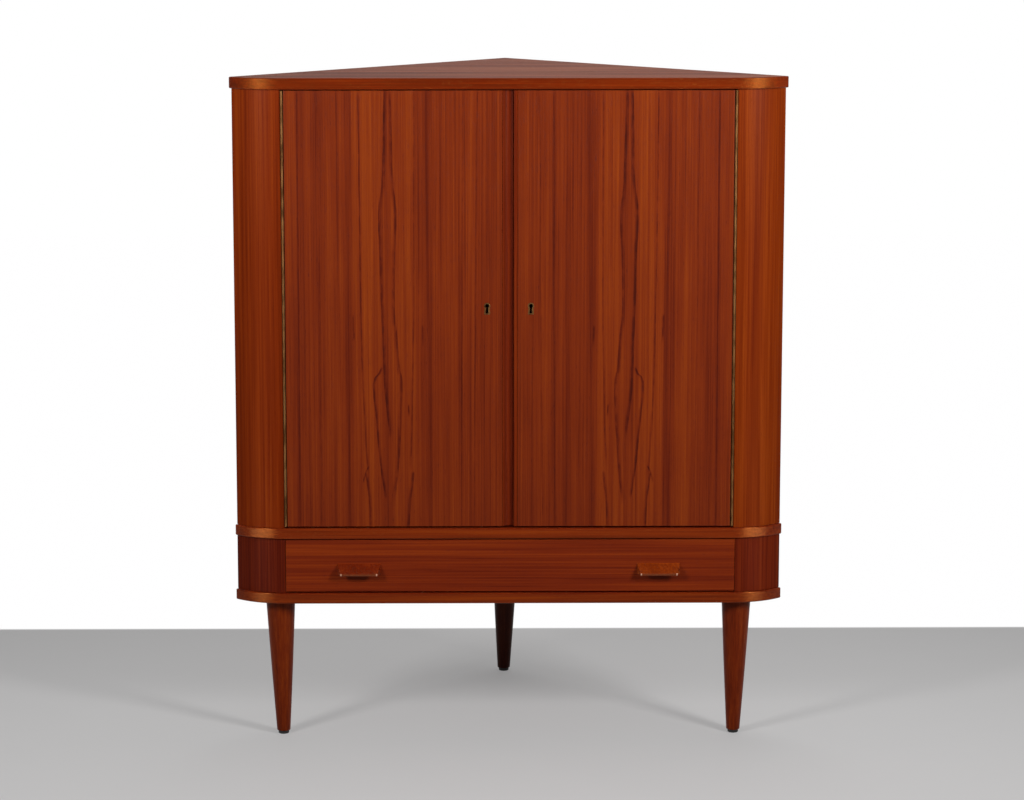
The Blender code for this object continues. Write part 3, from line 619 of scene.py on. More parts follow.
@dataclass(frozen=True)
class PaintedLipHighlight:
    """A drawer pull's lip: a painted highlight along it and painted glints at its corners.
    """

    front: float = -0.26824
    depth: float = 0.0004
    fade: float = 0.0001
    pull_x: float = 0.265
    corners: tuple[float, float] = (0.0300, 0.0307)
    # The painted highlight's colour along the lip, and the painted glints' colour at its
    # corners
    color: Color = (0.165, 0.034, 0.010)
    glint_color: Color = (0.62, 0.34, 0.22)

    def paint(self, sheet: Sheet, color: Socket) -> Socket:
        """Return the wood's colour with the lip's painted highlight and glints over it."""
        y = sheet.place(Axis.Y)
        lip = sheet.step(y, self.front, self.front - self.fade)
        color = sheet.mix(lip, color, self.color)
        away = sheet.math("ABSOLUTE", sheet.place(Axis.X))
        away = sheet.math("ABSOLUTE", sheet.math("SUBTRACT", away, self.pull_x))
        corner = sheet.step(away, *self.corners)
        near = sheet.step(y, self.front + self.depth, self.front)
        return sheet.mix(sheet.product(corner, near), color, self.glint_color)


@dataclass(frozen=True)
class Wood:
    """An oiled or plain wood with its grain along one axis.

    The layers' sizes are shares of the streaks' width and length.
    """

    name: str
    dark: Color
    middle: Color
    light: Color
    grain: Axis = Axis.Z
    streak: float = 0.006
    length: float = 0.45
    pores: float = 0.35
    wear_and_sheen: float = 0.25
    roughness: float = 0.42
    specular: float = OILED_SPECULAR
    gloss: Color = (1.0, 0.88, 0.82)
    # A painted highlight on a pull's lip, with painted glints, if any
    lip: PaintedLipHighlight | None = None
    seed: float = 0.0
    layers: tuple[Layer, ...] = (
        Layer(5.0, 1.0, 3.1, 0.9), Layer(1.0, 0.8, 7.7, 1.1), Layer(0.22, 0.35, 1.3, 1.1),
    )
    middle_tone: float = 1.05
    tone_stops: Point = (0.15, 0.5, 0.85)
    cells: Layer = Layer(0.0006, 0.011, 5.0)
    pore_range: tuple[float, float] = (0.60, 0.70)
    pore_shade: float = 0.35
    wear_and_sheen_tint: float = 1.5
    wear_and_sheen_gain: float = 3.0
    edge_width: float = 0.0015
    surface: Surface = Surface(0.10, 0.18, 0.8, 0.2)

    def streaks(self, sheet: Sheet, across: float, along: float, shift: float) -> Socket:
        """Return one layer of grain noise."""
        scale = [1.0 / across] * 3
        scale[self.grain.value] = 1.0 / along
        offset = (self.seed + shift, self.seed * 2 + shift, self.seed * 3 - shift)
        return sheet.noise(tuple(scale), offset)

    def tone(self, sheet: Sheet) -> Socket:
        """Return the grain's tone, from 0, dark, to 1, light."""
        parts = []
        for layer in self.layers:
            across, along = self.streak * layer.across, self.length * layer.along
            parts.append((self.streaks(sheet, across, along, layer.shift), layer.weight))
        total = sheet.total(*parts)
        return sheet.math("SUBTRACT", total, self.middle_tone, clamp=True)

    def build(self) -> bpy.types.Material:
        """Make the wood's material."""
        sheet = Sheet(self.name)
        tone = self.tone(sheet)
        shades = (self.dark, self.middle, self.light)
        color = sheet.ramp(tone, tuple(zip(self.tone_stops, shades)))
        cells = self.cells
        holes = self.streaks(sheet, cells.across, cells.along, cells.shift)
        pore = sheet.step(holes, *self.pore_range)
        deep = shaded(self.dark, self.pore_shade)
        color = sheet.mix(sheet.product(pore, self.pores), color, deep)
        # Edges and corners are painted paler: partly wear, partly a painted highlight
        # where they catch the light
        worn = shaded(self.light, self.wear_and_sheen_tint)
        edge = sheet.edges(self.edge_width)
        edge = sheet.math("MULTIPLY", edge, self.wear_and_sheen_gain * self.wear_and_sheen, clamp=True)
        color = sheet.mix(edge, color, worn)
        # Paint the lip's highlight and its corner glints
        if self.lip:
            color = self.lip.paint(sheet, color)
        sheet.set(
            Base_Color=color,
            Roughness=self.surface.rough(sheet, tone, pore, self.roughness),
            Normal=self.surface.normal(sheet, tone, pore),
            Specular_IOR_Level=self.specular,
            Specular_Tint=(*self.gloss, 1.0),
        )
        return sheet.material


@dataclass(frozen=True)
class FigureLine:
    """One dark growth line of the veneer's figure.

    The route gives heights and distances from the figure's middle, from the
    bottom up. The line is sharp on one side and fades out on the other.
    """

    route: tuple[tuple[float, float], ...]
    depth: float = 0.30
    sharp: float = 0.0022
    soft: float = 0.007
    hand: int = 1
    fade: float = 0.020


@dataclass(frozen=True)
class FlameVeneer:
    """Book-matched teak veneer, its figure mirrored between the two doors."""

    name: str
    middle_x: float
    hand: int
    shades: tuple[tuple[float, Color], ...]
    profile: tuple[tuple[float, float], ...]
    lines: tuple[FigureLine, ...]
    line_depth: float = 1.35
    roughness: float = 0.42
    seed: float = 0.0
    wander_scale: Point = (6.0, 6.0, 5.0)
    wander: float = 0.005
    broad: Layer = Layer(0.016, 0.9, 2.3, 0.34)
    medium: Layer = Layer(0.0036, 0.6, 5.1, 0.66)
    fine: Layer = Layer(0.0015, 0.22, 8.9, 0.54)
    patches: Layer = Layer(0.05, 0.16, 6.6, 0.22)
    middle_tone: float = 0.88
    cells: Layer = Layer(0.0007, 0.014, 4.4)
    pore_range: tuple[float, float] = (0.58, 0.70)
    pore_depth: float = 0.17
    gaps: Layer = Layer(0.012, 0.030, 9.9)
    gap_range: tuple[float, float] = (0.36, 0.62)
    gap_shares: tuple[float, float] = (0.55, 0.55)
    surface: Surface = Surface(0.08, 0.15, 0.7, 0.3)

    def streaks(self, sheet: Sheet, layer: Layer) -> Socket:
        """Return one layer of streaks along the height."""
        scale = (1.0 / layer.across, 1.0 / layer.across, 1.0 / layer.along)
        offset = (self.seed + layer.shift, layer.shift, self.seed - layer.shift)
        return sheet.noise(scale, offset)

    def line_share(
        self, sheet: Sheet, across: Socket, height: Socket, line: FigureLine
    ) -> Socket:
        """Return how dark one growth line is at a place.

        Args:
            sheet: the material's node sheet.
            across: the distance from the figure's middle.
            height: the height above the floor.
            line: the growth line.

        Returns:
            The share, from 0 off the line to the line's depth on it.
        """
        route = sheet.curve(height, line.route)
        away = sheet.product(sheet.math("SUBTRACT", across, route), line.hand)
        low, high = line.route[0][0], line.route[-1][0]
        return sheet.product(
            sheet.step(away, -line.soft, 0.0),
            sheet.step(away, line.sharp, 0.0),
            sheet.step(height, low - line.fade, low + line.fade),
            sheet.step(height, high + line.fade / 2, high - line.fade / 2),
            line.depth * self.line_depth,
        )

    def build(self) -> bpy.types.Material:
        """Make the veneer's material."""
        sheet = Sheet(self.name)
        height = sheet.place(Axis.Z)
        slow = sheet.noise(self.wander_scale, (self.seed, 0.0, 0.0))
        across = sheet.math("SUBTRACT", sheet.place(Axis.X), self.middle_x)
        across = sheet.product(across, float(self.hand))
        across = sheet.total((slow, self.wander), (across, 1.0), (1.0, -self.wander / 2))
        fine = self.streaks(sheet, self.fine)
        pore = sheet.step(self.streaks(sheet, self.cells), *self.pore_range)
        tone = sheet.total(
            (sheet.curve(across, self.profile), 1.0),
            (self.streaks(sheet, self.broad), self.broad.weight),
            (self.streaks(sheet, self.medium), self.medium.weight),
            (fine, self.fine.weight),
            (self.streaks(sheet, self.patches), self.patches.weight),
            (1.0, -self.middle_tone),
        )
        whole = sheet.step(self.streaks(sheet, self.gaps), *self.gap_range)
        gained, kept = self.gap_shares
        whole = sheet.total((whole, gained), (1.0, kept))
        for line in self.lines:
            share = self.line_share(sheet, across, height, line)
            tone = sheet.math("SUBTRACT", tone, sheet.product(share, whole))
        tone = sheet.math("MULTIPLY_ADD", pore, -self.pore_depth, tone, clamp=True)
        sheet.set(
            Base_Color=sheet.ramp(tone, self.shades),
            Roughness=self.surface.rough(sheet, tone, pore, self.roughness),
            Normal=self.surface.normal(sheet, fine, pore),
            Specular_IOR_Level=OILED_SPECULAR,
        )
        return sheet.material


@dataclass(frozen=True)
class Metal:
    """A metal with a worn, finely scratched surface.

    A metal with a front plane is painted black in front of it, as painted shade.
    """

    name: str
    clean: Color
    tarnished: Color
    roughness: float
    painted_shade_before: float | None = None
    black: Color = (0.003, 0.003, 0.003)
    painted_shade_fade: float = 0.0001
    stain_scale: Point = (90.0, 90.0, 40.0)
    stain_range: tuple[float, float] = (0.38, 0.66)
    scratch_scale: Point = (2600.0, 2600.0, 90.0)
    scratch_depth: float = 0.00003
    scratch_strength: float = 0.6
    stain_roughness: float = 0.14
    scratch_roughness: float = 0.12

    def build(self) -> bpy.types.Material:
        """Make the metal's material."""
        sheet = Sheet(self.name)
        stain = sheet.noise(self.stain_scale, detail=4.0)
        scratch = sheet.noise(self.scratch_scale, detail=2.0)
        share = sheet.step(stain, *self.stain_range)
        color = sheet.mix(share, self.clean, self.tarnished)
        # Painted shade: black in front of the plane
        if self.painted_shade_before is not None:
            front = self.painted_shade_before
            inside = sheet.step(sheet.place(Axis.Y), front, front - self.painted_shade_fade)
            color = sheet.mix(inside, color, self.black)
        rough = sheet.total(
            (share, self.stain_roughness),
            (scratch, self.scratch_roughness),
            (self.roughness, 1.0),
        )
        sheet.set(
            Base_Color=color,
            Metallic=1.0,
            Roughness=rough,
            Normal=sheet.bump(scratch, self.scratch_depth, self.scratch_strength),
        )
        return sheet.material


@dataclass(frozen=True)
class Moulded:
    """A dark moulded plastic with a faint skin."""

    name: str
    color: Color
    skin_scale: Point = (1800.0, 1800.0, 1800.0)
    skin_range: tuple[float, float] = (0.4, 0.8)
    skin_depth: float = 0.00005
    skin_roughness: float = 0.2
    worn: tuple[float, float] = (2.2, 0.01)
    roughness: float = 0.40

    def build(self) -> bpy.types.Material:
        """Make the plastic's material."""
        sheet = Sheet(self.name)
        skin = sheet.noise(self.skin_scale, detail=2.0)
        share = sheet.step(skin, *self.skin_range)
        sheet.set(
            Base_Color=sheet.mix(share, self.color, shaded(self.color, *self.worn)),
            Roughness=sheet.total((skin, self.skin_roughness), (self.roughness, 1.0)),
            Normal=sheet.bump(skin, self.skin_depth),
        )
        return sheet.material


@dataclass(frozen=True)
class ClearGlass:
    """A clear shelf glass, faintly green, with a few smears."""

    name: str
    tint: Color
    smear_scale: Point = (30.0, 30.0, 30.0)
    smear_shade: float = 0.96
    smear_roughness: float = 0.06
    refraction: float = 1.5

    def build(self) -> bpy.types.Material:
        """Make the glass' material."""
        sheet = Sheet(self.name)
        smear = sheet.noise(self.smear_scale, detail=5.0)
        sheet.set(
            Base_Color=sheet.mix(smear, self.tint, shaded(self.tint, self.smear_shade)),
            Roughness=sheet.total((smear, self.smear_roughness), (0.0, 1.0)),
            Transmission_Weight=1.0,
            IOR=self.refraction,
        )
        return sheet.material


Finish = Union[Wood, FlameVeneer, Metal, Moulded, ClearGlass]

# Finishes of this cabinet

TEAK_X = Wood(
    "teak_along_x", (0.098, 0.007, 0.002), (0.182, 0.017, 0.003), (0.270, 0.036, 0.004),
    Axis.X, streak=0.0035, length=0.5, roughness=0.40, specular=0.10, seed=0.3,
)
LEDGE_TEAK = replace(
    TEAK_X, name="teak_ledge", roughness=0.26, specular=0.7, gloss=(1.0, 0.36, 0.08)
)
BASE_TEAK = replace(
    LEDGE_TEAK, name="teak_base", dark=(0.082, 0.005, 0.002), middle=(0.152, 0.013, 0.003),
    light=(0.225, 0.028, 0.003),
)
SLAB_TEAK = replace(
    TEAK_X, name="teak_slab_edge", dark=(0.060, 0.003, 0.001), roughness=0.40,
    middle=(0.125, 0.008, 0.001), light=(0.205, 0.020, 0.002), specular=0.85,
    gloss=(1.0, 0.34, 0.06),
)
# The slab's top: paler and less red than its edges, a painted sheen over its grain
TOP_SHEEN_TEAK = replace(
    TEAK_X, name="teak_slab_top", dark=(0.095, 0.013, 0.002), streak=0.008,
    middle=(0.215, 0.038, 0.005), light=(0.330, 0.075, 0.010),
    specular=0.022, roughness=0.5,
)
TEAK_Z = Wood(
    "teak_along_z", (0.105, 0.010, 0.001), (0.165, 0.019, 0.002), (0.235, 0.036, 0.003),
    streak=0.004, length=0.4, seed=1.9,
)
# The rear leg's teak, darkened as painted shade for the shade under the cabinet
REAR_LEG_SHADE_TEAK = replace(
    TEAK_Z, name="teak_rear_leg", dark=(0.035, 0.004, 0.001),
    middle=(0.055, 0.007, 0.001), light=(0.080, 0.013, 0.002),
)
# The two pulls are one teak: the left is painted darker, a painted shade
PULL_LEFT = replace(
    TEAK_Z, name="teak_left_pull", dark=(0.095, 0.007, 0.001),
    middle=(0.160, 0.014, 0.002), light=(0.235, 0.027, 0.003), streak=0.0045,
    wear_and_sheen=0.8, specular=0.6, roughness=0.30, gloss=(1.0, 0.5, 0.28),
    lip=PaintedLipHighlight(), seed=2.6,
)
# The right pull: the same teak painted paler, a painted light
PULL_RIGHT = replace(
    PULL_LEFT, name="teak_right_pull", dark=(0.125, 0.012, 0.001),
    middle=(0.215, 0.026, 0.002), light=(0.315, 0.048, 0.004), seed=6.3,
)
LIPPING = replace(
    TEAK_Z, name="teak_lipping", dark=(0.105, 0.010, 0.002),
    middle=(0.145, 0.015, 0.003), light=(0.200, 0.027, 0.004),
    wear_and_sheen=0.0, streak=0.003, specular=0.05, seed=5.2,
)
# The lipping darkened as painted shade, for the cove's wall toward its own door
COVE_SHADE_TEAK = replace(
    LIPPING, name="teak_cove", dark=(0.075, 0.006, 0.001),
    middle=(0.115, 0.010, 0.002), light=(0.160, 0.019, 0.003),
)
VENEER_X = Wood(
    "veneer_along_x", (0.105, 0.009, 0.002), (0.190, 0.020, 0.003),
    (0.270, 0.038, 0.004), Axis.X, streak=0.0034, length=0.6, wear_and_sheen=0.1, seed=4.2,
)
VENEER_LEFT = Wood(
    "veneer_left_end", (0.130, 0.013, 0.001), (0.192, 0.022, 0.002),
    (0.255, 0.038, 0.003), streak=0.004, length=0.6, wear_and_sheen=0.1, specular=0.05, seed=6.1,
)
VENEER_RIGHT = Wood(
    "veneer_right_end", (0.138, 0.014, 0.001), (0.204, 0.026, 0.002),
    (0.280, 0.046, 0.004), streak=0.005, length=0.7, wear_and_sheen=0.1, specular=0.05, seed=7.4,
)
VENEER_LOW = Wood(
    "veneer_low_ends", (0.082, 0.007, 0.002), (0.142, 0.014, 0.003),
    (0.208, 0.027, 0.005), streak=0.004, length=0.6, wear_and_sheen=0.1, specular=0.05, seed=9.3,
)
# The left lower panel: the same veneer painted darker, a painted shade
VENEER_LOW_LEFT_SHADE = replace(
    VENEER_LOW, name="veneer_low_left", dark=(0.058, 0.005, 0.002),
    middle=(0.106, 0.010, 0.003), light=(0.160, 0.019, 0.004),
)
DARK_WOOD = Wood(
    "stained_back", (0.050, 0.010, 0.003), (0.085, 0.017, 0.005),
    (0.120, 0.028, 0.009), streak=0.005, roughness=0.55, seed=8.8,
)
BEECH_WOOD = Wood(
    "plain_beech", (0.36, 0.20, 0.10), (0.46, 0.28, 0.15), (0.55, 0.36, 0.21),
    Axis.Y, streak=0.003, pores=0.2, roughness=0.55, seed=2.4,
)
PLYWOOD_SHEET = Wood(
    "birch_plywood", (0.38, 0.25, 0.14), (0.48, 0.34, 0.20), (0.56, 0.42, 0.27),
    Axis.X, streak=0.008, length=0.25, pores=0.15, roughness=0.6, seed=5.5,
)

# The doors' figure: shades by tone, tones across the door, and growth lines, with
# distances from the figure's middle that are positive toward the meeting line
FLAME_SHADES = (
    (0.0, (0.055, 0.005, 0.001)),
    (0.25, (0.110, 0.011, 0.002)),
    (0.5, (0.180, 0.022, 0.003)),
    (0.75, (0.250, 0.039, 0.004)),
    (1.0, (0.340, 0.068, 0.005)),
)
FLAME_PROFILE = (
    (-0.201, 0.47), (-0.175, 0.51), (-0.155, 0.43), (-0.140, 0.47), (-0.119, 0.45),
    (-0.100, 0.53), (-0.084, 0.52), (-0.077, 0.40), (-0.066, 0.36), (-0.061, 0.50),
    (-0.054, 0.60), (-0.047, 0.56), (-0.042, 0.66), (-0.025, 0.62), (-0.012, 0.52),
    (0.0, 0.46), (0.010, 0.52), (0.020, 0.57), (0.036, 0.60), (0.042, 0.66),
    (0.049, 0.58), (0.057, 0.53), (0.063, 0.40), (0.076, 0.37), (0.083, 0.50),
    (0.105, 0.45), (0.120, 0.50), (0.133, 0.44), (0.152, 0.46), (0.168, 0.43),
    (0.185, 0.47), (0.201, 0.50),
)
FLAME_LINES = (
    FigureLine(
        (
            (0.560, 0.0018), (0.645, -0.0059), (0.707, -0.0080), (0.789, -0.0112),
            (0.877, -0.0130), (0.935, -0.0150), (0.949, -0.0146), (1.002, -0.0086),
            (1.111, -0.0058), (1.158, -0.0045),
        ),
        depth=0.34, hand=-1, soft=0.007,
    ),
    FigureLine(
        (
            (0.440, 0.0110), (0.487, 0.0160), (0.553, 0.0203), (0.600, 0.0232),
            (0.640, 0.0244), (0.667, 0.0205), (0.735, 0.0150), (0.789, 0.0112),
            (0.877, 0.0128), (0.940, 0.0152), (0.960, 0.0140), (1.002, 0.0098),
            (1.111, 0.0070), (1.158, 0.0058),
        ),
        depth=0.30, soft=0.007,
    ),
    FigureLine(
        (
            (0.445, -0.0060), (0.518, -0.0162), (0.590, -0.0222), (0.640, -0.0255),
            (0.652, -0.0238), (0.662, -0.0165), (0.672, -0.0120),
        ),
        depth=0.36, hand=-1, soft=0.005, fade=0.010,
    ),
    FigureLine(
        (
            (0.480, -0.0360), (0.540, -0.0402), (0.640, -0.0440), (0.760, -0.0468),
            (0.940, -0.0490), (1.158, -0.0495),
        ),
        depth=0.26, hand=-1, soft=0.004,
    ),
    FigureLine(
        (
            (0.500, 0.0385), (0.600, 0.0420), (0.760, 0.0455), (0.940, 0.0466),
            (1.158, 0.0470),
        ),
        depth=0.22, soft=0.004,
    ),
    FigureLine(
        ((0.389, -0.0320), (0.430, -0.0335), (0.465, -0.0375), (0.484, -0.0408)),
        depth=0.38, hand=-1, soft=0.006, fade=0.006,
    ),
    FigureLine(
        ((0.389, 0.0355), (0.430, 0.0380), (0.465, 0.0420), (0.486, 0.0440)),
        depth=0.32, soft=0.006, fade=0.006,
    ),
    FigureLine(
        ((0.470, -0.0445), (0.484, -0.0412), (0.496, -0.0360)),
        depth=0.34, hand=-1, soft=0.003, fade=0.005,
    ),
    FigureLine(
        ((0.590, 0.0362), (0.606, 0.0358)), depth=0.34, soft=0.003, fade=0.008,
    ),
    FigureLine(
        ((0.725, -0.0590), (0.765, -0.0600)), depth=0.30, soft=0.004, fade=0.010,
    ),
    FigureLine(
        ((0.715, 0.0620), (0.745, 0.0612)), depth=0.26, soft=0.004, fade=0.012,
    ),
    FigureLine(
        ((0.389, -0.1180), (1.158, -0.1200)), depth=0.12, soft=0.003,
    ),
    FigureLine(
        ((0.389, -0.1565), (1.158, -0.1550)), depth=0.14, soft=0.003,
    ),
    FigureLine(
        ((0.389, 0.1280), (1.158, 0.1325)), depth=0.13, soft=0.003,
    ),
    FigureLine(
        ((0.389, 0.1500), (1.158, 0.1570)), depth=0.14, soft=0.003,
    ),
)
LEFT_FLAME = FlameVeneer(
    "flame_veneer_left", -0.2117, 1, FLAME_SHADES, FLAME_PROFILE, FLAME_LINES, seed=1.2
)
RIGHT_FLAME = FlameVeneer(
    "flame_veneer_right", 0.2092, -1, FLAME_SHADES, FLAME_PROFILE, FLAME_LINES, seed=3.7
)
AGED_BRASS = Metal("aged_brass", (0.21, 0.098, 0.034), (0.10, 0.042, 0.014), 0.48)
# Brass darkened as painted shade, for the keyhole's inner walls
SHADED_BRASS = replace(
    AGED_BRASS, name="shaded_brass", clean=(0.020, 0.009, 0.003),
    tarnished=(0.010, 0.004, 0.001),
)
PLAIN_STEEL = Metal("plain_steel", (0.50, 0.50, 0.49), (0.30, 0.29, 0.28), 0.28)
# The lock case's front, seen through the keyhole, is painted black as shade
LOCK_STEEL = replace(PLAIN_STEEL, name="lock_steel", painted_shade_before=-0.2299)
GLIDE_NYLON = Moulded("glide_nylon", (0.010, 0.010, 0.009))
SHELF_GLASS = ClearGlass("shelf_glass", (0.88, 0.97, 0.93))


class Finishes:
    """The cabinet's finishes, each made when it is first used, and shared."""

    def __init__(self) -> None:
        """Start with none made."""
        self.made: dict[str, bpy.types.Material] = {}

    def of(self, finish: Finish) -> bpy.types.Material:
        """Return the material made from a finish."""
        if finish.name not in self.made:
            self.made[finish.name] = finish.build()
        return self.made[finish.name]


# Sub-assemblies


@dataclass(frozen=True)
class CasePlan:
    """The plan that every board and curved panel follows."""

    front_half: float = 0.394
    radius: float = 0.125
    center_y: float = -0.12535
    wall_turn: float = math.radians(45.0)
    steps: int = 24

    @property
    def back_y(self) -> float:
        """Return where the two wall lines meet."""
        return self.center_y + self.front_half

    @property
    def face_y(self) -> float:
        """Return the plane of the doors' faces."""
        return self.center_y - self.radius

    def from_wall(self, place: Vector) -> float:
        """Return how far a point lies inside the nearer wall line."""
        return (self.back_y - place.y - abs(place.x)) / DIAGONAL


@dataclass(frozen=True)
class RoundedBoard:
    """A horizontal board with rounded front corners and a straight rear corner."""

    node: str
    overhang: float
    sockets: tuple[tuple[Point, float, float], ...] = ()
    finish: Wood = TEAK_X
    top_finish: Wood | None = None
    plan: CasePlan = CasePlan()
    arris: float = 0.0018
    rear_arris: float = 0.0016
    level: float = 0.98

    def build(self, finishes: Finishes) -> None:
        """Model the board and dress it."""
        plan = self.plan
        low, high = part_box(self.node)
        radius = plan.radius + self.overhang
        front, reach = plan.center_y - radius, radius / DIAGONAL
        half, bottom = plan.front_half, low.z
        left_end = (-half - reach, plan.center_y - reach, bottom)
        pen = Pen(self.node + "_dressed", (-half, front, bottom))
        pen.line((half, front, bottom))
        pen.arc((half, plan.center_y, bottom), plan.wall_turn, plan.steps)
        pen.line((0.0, plan.back_y, bottom), left_end)
        pen.arc((-half, plan.center_y, bottom), plan.wall_turn, plan.steps)
        piece = pen.solid((0.0, 0.0, high.z - low.z))

        def along_front(middle: Vector, way: Vector) -> bool:
            """Pick the level edges away from the walls."""
            return not is_upright(way) and plan.from_wall(middle) > self.arris

        def at_rear(middle: Vector, way: Vector) -> bool:
            """Pick the edges on the wall lines."""
            return plan.from_wall(middle) < WELD

        bevel_edges(piece, self.arris, along_front, 4)
        bevel_edges(piece, self.rear_arris, at_rear, 2)
        close_piece(piece)
        for socket in self.sockets:
            bore(piece, *socket)
        close_piece(piece)
        attach(piece, "carcass", Slot.TEAK, finishes.of(self.finish), self.node)
        # The upward faces take the top finish and its painted sheen
        if self.top_finish:
            top = finishes.of(self.top_finish)
            finish_faces(piece, top, lambda normal: normal.z > self.level)


@dataclass(frozen=True)
class CurvedPanel:
    """A side panel bent round a front corner, from its start to the wall."""

    node: str
    side: Side
    inset: float
    finish: Wood
    plan: CasePlan = CasePlan()
    thickness: float = 0.018
    arris: float = 0.0008

    def build(self, finishes: Finishes) -> None:
        """Model the panel and dress it."""
        plan, hand = self.plan, self.side.value
        low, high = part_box(self.node)
        inner = plan.radius - self.thickness
        center = (hand * plan.front_half, plan.center_y, low.z)
        outer_turn = plan.wall_turn - math.asin(self.inset / plan.radius)
        inner_turn = plan.wall_turn - math.asin(self.inset / inner)
        x = hand * (plan.front_half + self.inset)
        outer_y = plan.center_y - math.sqrt(plan.radius**2 - self.inset**2)
        inner_reach = inner / DIAGONAL
        pen = Pen(self.node + "_dressed", (x, outer_y, low.z))
        pen.arc(center, hand * outer_turn, plan.steps)
        pen.line((center[0] + hand * inner_reach, center[1] - inner_reach, low.z))
        pen.arc(center, -hand * inner_turn, plan.steps)
        piece = pen.solid((0.0, 0.0, high.z - low.z))

        def upright(middle: Vector, way: Vector) -> bool:
            """Pick the upright edges."""
            return is_upright(way)

        bevel_edges(piece, self.arris, upright, 2, SQUARE_ONLY)
        close_piece(piece)
        attach(piece, "carcass", Slot.VENEER, finishes.of(self.finish), self.node)


@dataclass(frozen=True)
class TurnedLeg:
    """A round tapered leg that leans a little, with its glide."""

    label: str
    top: tuple[float, float]
    lean: float
    finish: Wood = TEAK_Z
    shoulder_z: float = 0.2497
    foot_z: float = 0.006
    top_radius: float = 0.026
    foot_radius: float = 0.012
    bulge: float = 0.0004
    foot_round: float = 0.0012
    tenon_radius: float = 0.012
    tenon_length: float = 0.013
    glide_radius: float = 0.0095
    glide_round: float = 0.0016
    top_arris: float = 0.0006
    glide_arris: float = 0.0005
    gap: float = 0.0003
    round_steps: int = 3
    rings: int = 10
    steps: int = 64

    def rounded(self, place: Point, radius: float, width: float) -> list[Ring]:
        """Return the rings of a rounding that ends on a level face.

        Args:
            place: the middle of the face.
            radius: the piece's radius above the rounding.
            width: the rounding's own radius.

        Returns:
            The rings after the rounding's first, from the top down.
        """
        x, y, z = place
        rings = []
        for step in range(1, self.round_steps + 1):
            angle = math.pi / 2 * step / self.round_steps
            rise = width * (1 - math.sin(angle))
            rings.append(((x, y, z + rise), radius - width * (1 - math.cos(angle))))
        return rings

    def leg_rings(self) -> list[Ring]:
        """Return the leg's rings from its tenon to its foot."""
        x, y = self.top
        fall = self.shoulder_z - self.foot_z
        rings = [
            ((x, y, self.shoulder_z + self.tenon_length), self.tenon_radius),
            ((x, y, self.shoulder_z), self.tenon_radius),
            ((x, y, self.shoulder_z), self.top_radius - self.top_arris),
            ((x, y, self.shoulder_z - self.top_arris), self.top_radius),
        ]
        for step in range(1, self.rings + 1):
            share = step / self.rings
            down = share * (fall - self.foot_round)
            radius = self.top_radius + (self.foot_radius - self.top_radius) * share
            radius += self.bulge * math.sin(math.pi * share)
            lean = self.lean * down / fall
            rings.append(((x + lean, y, self.shoulder_z - down), radius))
        foot = (x + self.lean, y, self.foot_z)
        return rings + self.rounded(foot, self.foot_radius, self.foot_round)

    def glide_rings(self) -> list[Ring]:
        """Return the glide's rings from the leg to the floor."""
        x, y = self.top[0] + self.lean, self.top[1]
        top, radius = self.foot_z - self.gap, self.glide_radius
        rings = [
            ((x, y, top), radius - self.top_arris),
            ((x, y, top - self.glide_arris), radius),
            ((x, y, self.glide_round), radius),
        ]
        return rings + self.rounded((x, y, 0.0), radius, self.glide_round)

    def build(self, finishes: Finishes) -> None:
        """Model the leg and its glide and dress them."""
        leg = turned_rings(self.label + "_leg_dressed", self.leg_rings(), self.steps)
        attach(leg, "carcass", Slot.TEAK, finishes.of(self.finish), self.label + "_leg")
        name = self.label + "_glide"
        glide = turned_rings(name + "_dressed", self.glide_rings(), self.steps)
        attach(glide, "carcass", Slot.NYLON, finishes.of(GLIDE_NYLON), name)


@dataclass(frozen=True)
class FingerPull:
    """A wedge-shaped drawer pull, hollowed from below for the finger tips."""

    side: Side
    finish: Wood
    from_middle: float = 0.265
    width: float = 0.076
    lip_width: float = 0.066
    height: float = 0.0195
    projection: float = 0.018
    lip: float = 0.0045
    hollow: float = 0.0095
    back_wall: float = 0.004
    front_round: float = 0.0021
    end_round: float = 0.0007
    front_reach: float = 0.0003
    end_reach: float = 0.0012
    back_reach: float = 0.0002
    steps: int = 20
    plan: CasePlan = CasePlan()

    def build(self, finishes: Finishes) -> None:
        """Model the pull and dress it."""
        name = self.side.label + "_pull"
        low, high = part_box(name)
        middle = self.side.value * self.from_middle
        x, back, bottom = middle - self.width / 2, high.y, low.z
        front = back - self.projection
        lip_inner = self.projection - self.lip / 2
        reach = (lip_inner - self.back_wall) / 2
        center = (self.back_wall + lip_inner) / 2
        pen = Pen(name + "_dressed", (x, back, bottom))
        for step in range(self.steps + 1):
            angle = math.pi * step / self.steps
            depth = center - reach * math.cos(angle)
            pen.line((x, back - depth, bottom + self.hollow * math.sin(angle)))
        pen.line(
            (x, front, bottom),
            (x, front, bottom + self.lip),
            (x, back, bottom + self.height),
        )
        piece = pen.solid((self.width, 0.0, 0.0))
        slant = (self.width - self.lip_width) / 2
        for hand in (-1, 1):
            end = (middle + hand * self.width / 2, back, bottom)
            normal = Vector((hand * self.projection, -slant, 0.0))
            slice_piece(piece, end, normal, cut_off=True)

        def at_front(spot: Vector, way: Vector) -> bool:
            """Pick the edges of the lip."""
            return spot.y < front + self.front_reach

        def at_ends(spot: Vector, way: Vector) -> bool:
            """Pick the edges of the two ends, between the lip and the drawer."""
            beside = abs(spot.x - middle) > self.lip_width / 2 - self.end_reach
            return beside and front < spot.y < back - self.back_reach

        bevel_edges(piece, self.front_round, at_front, 5)
        bevel_edges(piece, self.end_round, at_ends, 2)
        close_piece(piece)
        attach(piece, "drawer", Slot.TEAK, finishes.of(self.finish), name)


